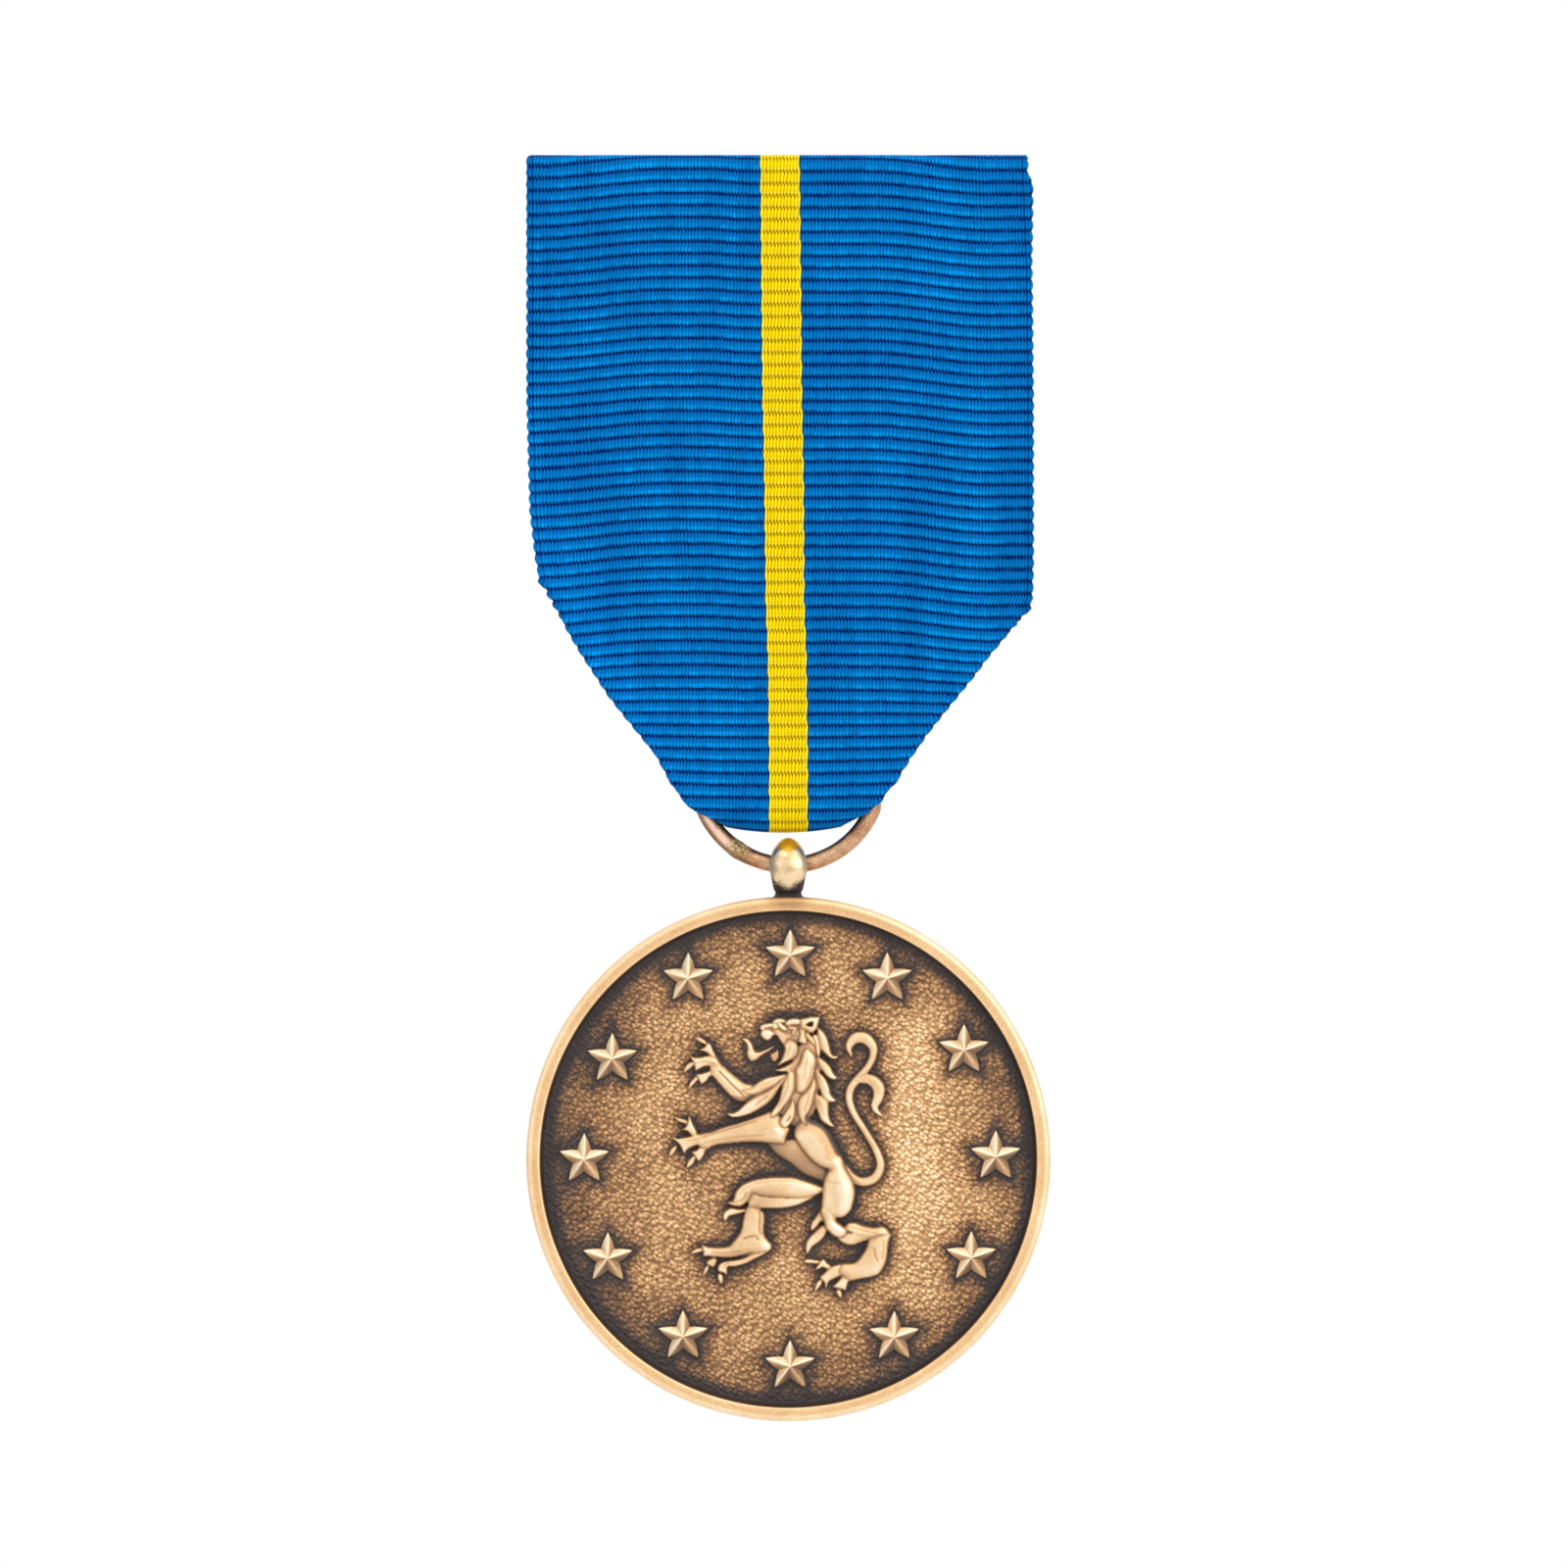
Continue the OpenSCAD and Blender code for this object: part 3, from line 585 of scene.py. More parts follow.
@dataclass(frozen=True)
class CastBronze:
    """Patinated cast bronze, bright where it is rubbed and dark in the hollows.

    The points carry a mark from 0 in the hollows to 1 on the rubbed heights that holds rubbing and painted
    shade and light in one, and "grain", 1 where the surface has pebbles. Each pebble is a dome. It has a
    painted highlight on its upper left side, where the same pattern is higher a step further to the lower
    right, and painted shade on its lower right side.
    """

    name: str
    pebble_size: float = 0.35
    pebbles: float = 0.0
    roughness: float = 0.42
    metal: float = 0.62
    mottle: float = 0.16
    pale: float = 0.0

    def material(self) -> bpy.types.Material:
        """Builds the metal's material.

        Returns:
            The material.
        """
        material, shader = new_material(self.name)
        place = shader.place()
        wear = shader.mark("wear")
        grain = shader.mark("grain") * self.pebbles if self.pebbles else 0.0
        x, y, z = shader.split(place)
        sway = shader.noise(place, 150.0, 2.0) - 0.5
        drift = shader.noise(place, 130.0, 2.0) - 0.5
        along, beside = (x - z) * 600 / self.pebble_size, (x + z) * 830 / self.pebble_size
        settings = {"feature": "SMOOTH_F1", "distance": "EUCLIDEAN"}
        domes = []
        for shift in (0.0, 0.26):
            leather = shader.join(beside + sway * 3.4, y * 500, along + drift * 3.0 + shift)
            values = {"Vector": leather, "Scale": 1.0, "Randomness": 0.8, "Smoothness": 0.16}
            cell = Num(shader, shader.node("ShaderNodeTexVoronoi", settings, **values))
            domes.append(1 - cell.step(0.04, 0.70))
        pebble, shifted = domes
        # Painted light on each pebble's upper left side and painted shade on its lower right.
        lit = pebble * 0.55 + (shifted - pebble) * 0.9 - 0.31
        fine = shader.noise(place, 7000.0, 3.0)
        cloud = shader.noise(place, 330.0, 4.0)
        # The tone is the mark of rubbing and painted shade and light, with the pebbles' painted light and
        # random unevenness.
        tone = wear + lit * grain * (0.24 + wear * 0.42) + (fine - 0.5) * (0.24 + grain * 0.50)
        tone = tone + (cloud - 0.5) * (grain * 0.16 + self.mottle)
        stops = [
            (0.0, srgb(44, 35, 33)),
            (0.20, srgb(76, 58, 48)),
            (0.45, srgb(140, 102, 70)),
            (0.72, srgb(208, 162, 112)),
            (0.88, srgb(240, 200, 148)),
            (1.0, srgb(252, 230, 196)),
        ]
        colour = shader.node("ShaderNodeValToRGB", {"stops": stops}, tone.most(0.0).least(1.0))
        colour = shader.mix(self.pale, colour, srgb(186, 176, 164))
        height = (pebble * 1.1 + fine * 0.4) * grain + fine * 0.2
        metal = 0.12 + wear.step(0.05, 0.6) * self.metal
        rough = self.roughness + (1 - wear.least(1.0)) * 0.18 + (fine - 0.5) * 0.12
        shader.finish(colour, height, 0.00006, Roughness=rough, Metallic=metal)
        return material


@dataclass(frozen=True)
class EyeletMetal:
    """Rubbed bead of the eyelet: cream middle, grey sides, a sooty foot, and on its cap a golden painted
    reflection of the ribbon's yellow stripe.

    The middle is the place of the wire's axis through the eyelet, and the half width the bead's, both in
    millimetres.
    """

    middle: tuple[float, float]
    half_width: float = 1.28

    def material(self) -> bpy.types.Material:
        """Builds the bead's material.

        Returns:
            The material.
        """
        material, shader = new_material("eyelet_bronze")
        place = shader.place()
        x, _, z = shader.split(place)
        side = (x * IN_MM - self.middle[0]) / self.half_width
        up = z * IN_MM - self.middle[1]
        fine = shader.noise(place, 6500.0, 4.0)
        cloud = shader.noise(place, 900.0, 3.0)
        wear = shader.mark("wear")
        cream = shader.mix(cloud.step(0.42, 0.66), srgb(240, 212, 168), srgb(214, 180, 134))
        grey = (side.size() + (cloud - 0.5) * 0.5 + up * 0.16).step(0.55, 0.98)
        colour = shader.mix(grey * 0.8, cream, srgb(146, 138, 128))
        # Painted reflection of the ribbon's yellow stripe on the bead's cap.
        stripe_reflection = (up + (cloud - 0.5) * 0.3 - side * side * 0.9).step(0.96, 1.22)
        reflected_gold = shader.mix(up.step(1.0, 2.0), srgb(196, 146, 0), srgb(228, 184, 20))
        colour = shader.mix(stripe_reflection * 0.9, colour, reflected_gold)
        soot = (side.size() * 0.8 - up * 1.25 + (fine - 0.5) * 1.1 + (cloud - 0.5) * 0.9).step(1.45, 2.1)
        colour = shader.mix(soot, colour, srgb(48, 40, 42))
        # Painted shade towards the hole, where the mark is low.
        colour = shader.mix((1 - wear.step(0.1, 0.5)) * 0.9, colour, srgb(52, 44, 44))
        rough = 0.30 + soot * 0.3 + (fine - 0.5) * 0.1
        metal = 0.75 - soot * 0.6
        shader.finish(colour, fine * (0.2 + soot), 0.00003, Roughness=rough, Metallic=metal)
        return material


@dataclass(frozen=True)
class RingWire:
    """Drawn copper-bronze wire with black patina left on its inner side and a rough patch of solder; its
    left part has a painted highlight streak with painted shade beside it.

    The ring's middle and radius are in millimetres, the place of the solder is in metres.
    """

    middle: tuple[float, float]
    radius: float
    solder: tuple[float, float, float]

    def material(self) -> bpy.types.Material:
        """Builds the wire's material.

        Returns:
            The material.
        """
        material, shader = new_material("ring_wire")
        place = shader.place()
        x, _, z = shader.split(place)
        dx = x * IN_MM - self.middle[0]
        dz = z * IN_MM - self.middle[1]
        out = (dx * dx + dz * dz) ** 0.5 - self.radius
        fine = shader.noise(place, 7000.0, 4.0)
        cloud = shader.noise(place, 700.0, 3.0)
        inner = (out + (cloud - 0.5) * 0.25).step(-0.52, -0.22)
        operation = {"operation": "DISTANCE"}
        away = Num(shader, shader.node("ShaderNodeVectorMath", operation, place, self.solder, out="Value"))
        spot = 1 - (away * IN_MM + (fine - 0.5) * 0.9).step(0.45, 1.15)
        copper = shader.mix(cloud.step(0.35, 0.7), srgb(186, 134, 98), srgb(226, 182, 142))
        copper = shader.mix((fine - 0.44).most(0.0) * 1.8, copper, srgb(120, 74, 50))
        # Painted highlight: a narrow pale streak along the left part of the wire, with painted shade in
        # brown beside it.
        wire_highlight = (1 - (out - 0.10).size().step(0.06, 0.24)) * (0 - dx).step(3.2, 4.2)
        left = (0 - dx).step(2.2, 3.4) * (out - 0.08).size().step(0.16, 0.40)
        copper = shader.mix(left * 0.75, copper, srgb(112, 78, 58))
        copper = shader.mix(wire_highlight * 0.85, copper, srgb(250, 216, 196))
        colour = shader.mix(inner, srgb(46, 34, 32), copper)
        rubbed = shader.mix(fine.step(0.42, 0.6), srgb(120, 96, 66), srgb(226, 194, 132))
        colour = shader.mix(spot * 0.8, colour, rubbed)
        rough = 0.40 + (fine - 0.5) * 0.2 + spot * 0.2
        metal = 0.30 + inner * 0.45
        shader.finish(colour, fine + spot * fine * 1.5, 0.00005, Roughness=rough, Metallic=metal)
        return material


@dataclass(frozen=True)
class SatinBrass:
    """Pale brushed brass of the hidden pin, with strokes along its length and small stains."""

    light: Colour = srgb(226, 200, 150)
    dark: Colour = srgb(168, 134, 88)

    def material(self) -> bpy.types.Material:
        """Builds the pin's material.

        Returns:
            The material.
        """
        material, shader = new_material("satin_brass")
        place = shader.place()
        x, y, z = shader.split(place)
        strokes = shader.noise(shader.join(x * 300, y * 9000, z * 9000), 1.0, 3.0)
        stain = shader.noise(place, 500.0, 4.0)
        colour = shader.mix(stain.step(0.5, 0.75) * 0.6 + strokes * 0.25, self.light, self.dark)
        rough = 0.3 + strokes * 0.2 + stain * 0.1
        shader.finish(colour, strokes, 0.00001, Roughness=rough, Metallic=0.95)
        return material


@dataclass(frozen=True)
class PalePaint:
    """Plain pale floor with the slightest unevenness."""

    tone: Colour = srgb(236, 236, 236)

    def material(self) -> bpy.types.Material:
        """Builds the floor's material.

        Returns:
            The material.
        """
        material, shader = new_material("pale_floor")
        shade = shader.noise(shader.place(), 30.0, 2.0)
        colour = shader.mix(shade * 0.2, self.tone, srgb(226, 226, 228))
        shader.finish(colour, shade, 0.00002, Roughness=0.8)
        return material


@dataclass(frozen=True)
class Layout:
    """Places that all pieces share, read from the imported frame, in millimetres."""

    hang_x: float
    loop_y: float
    wire_z: float
    top_z: float
    foot_z: float
    medal_r: float
    medal_z: float
    front_y: float
    back_y: float

    @classmethod
    def read(cls, disc_t: float = 3.0) -> "Layout":
        """Reads the joint's place and the boxes of the ribbon and the medal.

        Args:
            disc_t: Thickness of the disc, which hangs with its middle on the joint's axis.

        Returns:
            The places.
        """
        swing = frame["record"]["behaviour"]["joints"][0]["pos_m"]
        ribbon_low, ribbon_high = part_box("ribbon")
        medal_low, medal_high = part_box("medal")
        radius = (medal_high[0] - medal_low[0]) / 2 / MM
        return cls(
            hang_x=swing[0] / MM,
            loop_y=swing[1] / MM,
            wire_z=swing[2] / MM,
            top_z=ribbon_high[2] / MM,
            foot_z=ribbon_low[2] / MM,
            medal_r=radius,
            medal_z=medal_low[2] / MM + radius,
            front_y=swing[1] / MM - disc_t / 2,
            back_y=swing[1] / MM + disc_t / 2,
        )


@dataclass
class Ribbon:
    """The strip of ribbed cloth, folded into a loop with its side flaps folded in behind it.

    The rib is the distance from one rib to the next. The rise lifts the bend to the sides, by the square of
    the way from low_x. The wall, bend_r and top_gap are the part's own. The inner end of the strip is a
    layer inside the back leg; both ends are heights. Split_x is where the two sides meet, and back_less is
    how much narrower the back leg is on either side.
    """

    at: Layout
    half_width: float = 18.45
    cloth_t: float = 0.42
    rib: float = 0.879
    rib_depth: float = 0.15
    rise: float = 0.021
    rib_rise: float = 0.003
    low_x: float = 0.2
    wall: float = 1.0
    bend_r: float = 0.95
    top_gap: float = 0.3
    layer: float = 0.5
    inner_end: float = -6.0
    outer_end: float = 2.45
    roll_r: float = 0.3
    split_x: float = 0.35
    back_less: float = 0.06
    name: str = "ribbon_cloth"

    # Height, left edge and right edge of the front leg
    EDGES = [
        [-44.4, -7.1, 7.75], [-43.5, -7.6, 7.95], [-42.1, -8.26, 8.75], [-40.6, -9.1, 9.7],
        [-39.2, -10.25, 10.7], [-37.8, -11.4, 11.8], [-36.4, -12.5, 12.95], [-35.0, -13.4, 14.1],
        [-33.5, -14.4, 15.2], [-32.1, -15.23, 16.4], [-30.7, -16.0, 17.65], [-29.3, -16.8, 18.36],
        [-27.9, -17.5, 18.4], [-26.4, -17.8, 18.43], [-23.0, -18.2, 18.43], [-15.0, -18.42, 18.43],
        [-6.0, -18.43, 18.35], [3.0, -18.43, 18.0],
    ]
    # Height and how far the cloth lies to the right of the middle
    SHIFT = [[-40.0, 0.6], [-33.5, 0.5], [-29.0, 0.33], [-20.7, 0.28], [-14.3, 0.15], [3.0, 0.0]]
    # Angle turned in the bend, left edge and right edge there
    BEND = [
        [0, 7.75, 8.05], [15, 7.5, 7.8], [36, 6.95, 7.35], [48, 6.3, 6.75], [58, 5.6, 6.15],
        [66, 4.8, 5.5], [74, 4.4, 4.95], [90, 4.2, 4.7],
    ]
    # Height at which the side flap starts: left and right
    FOLD_START = (-27.6, -29.6)
    # Rows a rib on the front and where it is hidden, and halvings of the way to an edge
    FRONT_ROWS = 6
    HIDDEN_ROWS = 4
    HALVINGS = 40

    def __post_init__(self) -> None:
        """Works out the loop from the wall's places in the part."""
        half = self.cloth_t / 2 + 0.02
        outer_top = self.top_gap + self.wall
        self.bend_z = self.at.foot_z + self.bend_r + self.wall
        self.hang_r = self.bend_r + self.wall - half
        self.front_top_y = self.at.loop_y - outer_top + half
        self.back_top_y = self.at.loop_y + outer_top - half
        inner_y = self.back_top_y - self.layer
        self.fold_r = (inner_y - self.front_top_y) / 2
        self.fold_y = (inner_y + self.front_top_y) / 2
        self.fold_z = self.at.top_z - self.fold_r - half
        self.lengths = np.array([
            self.fold_z - self.inner_end,
            math.pi * self.fold_r,
            self.fold_z - self.bend_z,
            math.pi * self.hang_r,
            self.outer_end - self.bend_z,
        ])
        self.starts = np.concatenate([[0.0], np.cumsum(self.lengths)])

    def path(self, s: Array, x: Array) -> tuple[Array, Array, Array, Array, Array]:
        """Middle line of the strip.

        It goes straight up inside the back, in a half circle over the top, straight down the front, in a
        half circle round the bend, and straight up the back.

        Args:
            s: Length along the strip, in millimetres.
            x: Place across. The bend lies higher to the sides.

        Returns:
            Depth, height, both parts of the outward direction, and the angle turned in the bend.
        """
        s1, s2, s3, s4, s5 = self.starts[1:]
        far = (x - self.low_x) ** 2
        lift = self.rise * far
        s3, s4, low_z = s3 - lift, s4 - lift, self.bend_z + lift
        bend = (s >= s3) & (s < s4)
        legs = [s < s1, (s >= s1) & (s < s2), (s >= s2) & (s < s3), bend]
        turn = (s - s1) / self.fold_r
        share = (s - s2) / (s3 - s2)
        hang = (s - s3) / self.hang_r
        rise = (s - s4) / (s5 - s4)
        front_low_y = self.at.loop_y - self.hang_r
        back_low_y = self.at.loop_y + self.hang_r
        y = np.select(
            legs,
            [
                np.full(s.shape, self.fold_y + self.fold_r),
                self.fold_y + self.fold_r * np.cos(turn),
                self.front_top_y + (front_low_y - self.front_top_y) * share,
                self.at.loop_y - self.hang_r * np.cos(hang),
            ],
            back_low_y + (self.back_top_y - back_low_y) * rise,
        )
        z = np.select(
            legs,
            [
                self.inner_end + s,
                self.fold_z + self.fold_r * np.sin(turn),
                self.fold_z - (s - s2),
                low_z - self.hang_r * np.sin(hang),
            ],
            low_z + (s - s4) - 2 * lift * smooth(s - s4, 0.0, 9.0),
        )
        z = z + self.rib_rise * far * smooth(-z, 36.0, 44.0)
        ny = np.select(legs, [1.0, np.cos(turn), -1.0, -np.cos(hang)], 1.0)
        nz = np.select(legs, [0.0, np.sin(turn), 0.0, -np.sin(hang)], 0.0)
        angle = np.degrees(np.clip(hang, 0.0, math.pi))
        return y, z, ny, nz, np.where(bend, np.minimum(angle, 180.0 - angle), 0.0)

    def bow(self, x: Array, z: Array) -> Array:
        """How far the ribs sag below their highest part.

        Args:
            x: Place across.
            z: Height of the row's middle. The sag fades out just above the bend.

        Returns:
            The sag: one soft step to the left, two to the right.
        """
        left = 0.72 * smooth(-x, 8.3, 18.0)
        right = 0.2 * smooth(x, -5.5, -2.0) + 0.8 * smooth(x, 6.5, 15.5)
        return (left + right) * smooth(z, -41.0, -30.0)

    def columns(self, low: Array, high: Array, fold: Array) -> Array:
        """Places across one half of a row, from the middle to the selvedge.

        Args:
            low: Where the half starts, one number a row.
            high: Where its selvedge is.
            fold: Where its roll starts, or beyond the selvedge.

        Returns:
            One row of places for each row of the cloth.
        """
        roll_start = np.minimum(fold - 0.08, high - 3.2)
        roll_end = roll_start + math.pi * self.roll_r + 0.35
        selvedge = np.array([0.4, 0.3, 0.2, 0.1, 0.0])
        flat, roll = (low, roll_start, 15), (roll_start, roll_end, 9)
        places = []
        for start, stop, steps in (flat, roll, (roll_end, high - selvedge[0], 4)):
            shares = np.linspace(0, 1, steps + 1)[None, :-1]
            places.append(start[:, None] + (stop - start)[:, None] * shares)
        return np.concatenate(places + [high[:, None] - selvedge[None, :]], axis=1)

    def rows(self) -> Array:
        """Rows of the cloth, closer on the front than where it is hidden.

        Returns:
            Where each row is, as a number of ribs from the strip's inner end.
        """
        front, back, ribs = self.starts[[1, 4, 5]] / self.rib
        near, far = self.FRONT_ROWS, self.HIDDEN_ROWS
        rows = np.concatenate([
            np.arange(0.0, front, 1 / far),
            np.arange(math.ceil(front * near) / near, back, 1 / near),
            np.arange(math.ceil(back * far) / far, ribs, 1 / far),
        ])
        return np.unique(np.round(np.append(rows, ribs), 4))

    def sag(self, s: Array) -> Array:
        """Share of the bow at each row: 1 down the front, a half the other way past the bend's middle."""
        return np.where(s >= (self.starts[3] + self.starts[4]) / 2, -0.5, 1.0)

    def side(self, sign: int, s: Array, z: Array) -> tuple[Array, Array, Array, Array]:
        """Edge of one side at each row.

        The edge is found by going half the way to the outline again and again, each time at the height that
        the bow and the bend's lift give it there. Below the fold's start a roll begins at the outline, and
        the cloth goes round it and back behind the leg, as far as there is room beside the middle. The back
        leg is a little narrower than the front leg, but shows beside it at the top right.

        Args:
            sign: -1 for the left side, 1 for the right.
            s: Length along the strip, in millimetres.
            z: Height of the row's middle.

        Returns:
            Its width when flat, where its cloth ends, where its roll starts, and the roll's radius.
        """
        column, start = (1, self.FOLD_START[0]) if sign < 0 else (2, self.FOLD_START[1])
        sag = self.sag(s)
        reach = np.full(s.shape, 8.0)
        for _ in range(self.HALVINGS):
            edge = sign * reach
            _, level, _, _, angle = self.path(s + self.bow(edge, z) * sag, edge)
            leg = table(level, self.EDGES, column) * sign
            reach = (reach + np.where(angle > 0, table(angle, self.BEND, column), leg)) / 2
        beside = 0.45 * smooth(z, -9.0, 3.0) * (1 - smooth(z, 1.5, 2.45)) - self.back_less
        reach = reach + (sag < 0) * (beside if sign > 0 else -self.back_less)
        inside = s < (self.starts[0] + self.starts[1] + self.fold_r) / 2
        flat = np.where(level > start, reach, table(np.full(z.shape, start), self.EDGES, column) * sign)
        folded = smooth(-level, -start - 0.1, -start + 1.3) * (1.0 - inside)
        roll = self.roll_r * (0.45 + 0.55 * smooth(-level, -start, -start + 4.0))
        outline = (reach - self.cloth_t / 2) * folded + (flat + roll) * (1 - folded)
        line = np.where(folded > 0, outline, flat + 1.0)
        line = line - 0.6 * folded * (1 - folded)
        room = line - roll + math.pi * roll + (line - roll - sign * self.at.hang_x - self.split_x)
        return flat, np.minimum(flat, room), line - roll, roll

    def spread(self, sign: int, s: Array, z: Array) -> list[Array]:
        """Places across one side: flat up to the roll, round it, and back behind the leg.

        Args:
            sign: -1 for the left side, 1 for the right.
            s: Length along the strip, in millimetres.
            z: Height of the row's middle.

        Returns:
            Place across, way in behind the face, both parts of the face's direction, and place in the
            weave; each has a row for each row of the cloth, from left to right.
        """
        flat, end, roll_start, roll = self.side(sign, s, z)
        across = self.columns(np.full(s.shape, self.split_x * (sign > 0)), end, roll_start)
        shift = table(z, self.SHIFT, 1)[:, None]
        flat, roll_start, roll = flat[:, None], roll_start[:, None], roll[:, None]
        past = np.clip((across - roll_start) / roll, 0.0, None)
        turned = np.minimum(past, math.pi)
        beyond = np.maximum(past - math.pi, 0.0) * roll
        x = np.where(past > 0, roll_start + roll * np.sin(turned) - beyond, np.minimum(across, roll_start))
        depth = roll * (1 - np.cos(turned))
        ahead = across / np.maximum(flat, 1e-6)
        thread = across * self.half_width / flat - sign * shift * (1 - ahead**4)
        places = (sign * x, depth, sign * np.sin(turned), np.cos(turned), sign * thread)
        return [place[:, ::-1] if sign < 0 else place for place in places]

    def build(self) -> Surface:
        """Cloth as a closed sheet: rows follow the ribs, columns follow the threads.

        Each point lies on the loop at its row's length plus the bow of the ribs. The faces stand half the
        cloth's thickness off, and a rounded rib, the rise of a sine, stands on them. The selvedge is a thin
        cord whose edge is toothed by the ribs.

        Returns:
            The closed surface with its weave map.
        """
        rows = self.rows()
        s = rows * self.rib
        z = self.path(s, np.full(s.shape, self.low_x))[1]
        halves = zip(self.spread(-1, s, z), self.spread(1, s, z))
        x, depth, side, facing, thread = (np.concatenate(pair, axis=1) for pair in halves)
        y, height, ny, nz, _ = self.path(s[:, None] + self.bow(x, z[:, None]) * self.sag(s)[:, None], x)
        corners = smooth(-x, 18.0, 18.6) + 0.4 * smooth(x, 17.8, 18.4)
        height = height - 0.12 * corners * smooth(height, 1.6, 2.9)
        y = y - ny * depth
        height = height - nz * depth
        tooth = np.abs(np.sin(math.pi * rows[:, None]))
        out = np.abs(thread)
        edge = smooth(out, self.half_width - 0.5, self.half_width) * 0.14
        x = x + np.sign(thread) * edge * (tooth - 0.75) * facing
        wave = 0.05 * ripple(x, height, 9.0, 4)
        cord = smooth(out, self.half_width - 0.36, self.half_width - 0.2)
        thin = smooth(out, self.half_width - 0.2, self.half_width + 0.02)
        taper = np.sqrt(np.clip(1 - thin**2, 0.06, 1))
        relief = self.rib_depth * (tooth**0.8 - 0.6) * (1 - 0.3 * cord) + 0.03 * cord
        relief = relief * (1 - 0.8 * smooth(nz, 0.3, 0.9))
        half_t = self.cloth_t / 2 * taper
        normal = np.stack([side, ny * facing, nz * facing], axis=-1)
        centre = np.stack([x, y + ny * wave, height], axis=-1)
        outer = centre + normal * (half_t + relief * taper)[..., None]
        under = centre - normal * (half_t + 0.4 * relief * taper)[..., None]
        points = np.concatenate([outer.reshape(-1, 3), under.reshape(-1, 3)])
        uv = listed(thread, rows[:, None])
        return Surface(points, slab_faces(x), uv=np.concatenate([uv, uv]))

    def make(self) -> None:
        """Builds the cloth, dresses it, hides the imported ribbon and parents the cloth to its body."""
        piece = self.build().piece(self.name)
        piece.data.materials.append(RibbedWeave(half_width=self.half_width).material())
        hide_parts("ribbon")
        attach(piece, Body.UPPER.value)
        2 * self.half_width * MM


@dataclass
class Ring:
    """The wire ring: a round lower part, two small corners and a bowed bar inside the ribbon's bend.

    The radius is that of the round part, to the middle of the wire, and arc_half is the angle it goes up to
    either side.
    """

    at: Layout
    radius: float = 6.65
    wire_r: float = 0.6
    corner_r: float = 0.8
    arc_half: float = 66.5
    bar_z: float = -44.55
    name: str = "ring_wire_loop"

    # Steps on the round part, on a corner, on the bar and round the wire
    ARC_STEPS = 180
    CORNER_STEPS = 28
    BAR_STEPS = 80
    WIRE_STEPS = 28

    def line(self) -> tuple[Array, Array]:
        """Middle line of the wire from four kinds of arcs, each a middle plus a radius at its angles.

        Returns:
            Points across and up, once round, and the direction away from the ring's inside at each.
        """
        mid_z = self.at.wire_z + self.radius
        half = math.radians(self.arc_half)
        corner_x = (self.radius - self.corner_r) * math.sin(half)
        corner_z = mid_z - (self.radius - self.corner_r) * math.cos(half)
        rise = corner_z - self.bar_z
        bar_r = (corner_x**2 + rise**2 - self.corner_r**2) / (2 * (rise + self.corner_r))
        bar_mid = self.bar_z + bar_r
        bar_half = math.atan2(corner_x, bar_mid - corner_z)
        quarter = math.pi / 2
        low = np.linspace(-quarter - half, -quarter + half, self.ARC_STEPS)
        right = np.linspace(-quarter + half, quarter + bar_half, self.CORNER_STEPS)
        bar = np.linspace(-quarter + bar_half, -quarter - bar_half, self.BAR_STEPS)
        left = np.linspace(quarter - bar_half, 3 * quarter - half, self.CORNER_STEPS)
        runs = [
            (0.0, mid_z, self.radius, low, 1),
            (corner_x, corner_z, self.corner_r, right, 1),
            (0.0, bar_mid, bar_r, bar, -1),
            (-corner_x, corner_z, self.corner_r, left, 1),
        ]
        points = [np.stack([x + r * np.cos(a), z + r * np.sin(a)], axis=-1)[:-1] for x, z, r, a, _ in runs]
        out = [np.stack([np.cos(a), np.sin(a)], axis=-1)[:-1] * sign for _, _, _, a, sign in runs]
        return np.concatenate(points), np.concatenate(out)

    def build(self) -> Surface:
        """A circle of the wire's radius, carried once round the line; the solder swells it a little.

        Returns:
            The closed wire.
        """
        line, out = self.line()
        across, up = line[:, 0], line[:, 1]
        turns = full_turn(self.WIRE_STEPS)
        lump = np.exp(-(((across + 3.6) ** 2 + (up - self.at.wire_z - 1.2) ** 2) / 0.5))
        lump = lump * (1 + ripple(across * 4, up * 4, 2, 3))
        radius = (self.wire_r + 0.008 * ripple(across, up, 2.3, 9) + 0.05 * lump)[:, None]
        flat = radius * np.cos(turns)[None, :]
        x = self.at.hang_x + line[:, :1] + out[:, :1] * flat
        z = line[:, 1:] + out[:, 1:] * flat
        y = self.at.loop_y + radius * np.sin(turns)[None, :]
        return Surface(listed(x, y, z), [grid_faces(numbered(x, along=True))])

    def make(self) -> None:
        """Builds the wire, dresses it, hides the imported ring and parents the wire to its body."""
        piece = self.build().piece(self.name)
        middle = (self.at.hang_x, self.at.wire_z + self.radius)
        solder = (-2.95 * MM, (self.at.loop_y - 0.5) * MM, -47.4 * MM)
        piece.data.materials.append(RingWire(middle, self.radius, solder).material())
        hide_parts("ring")
        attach(piece, Body.UPPER.value)


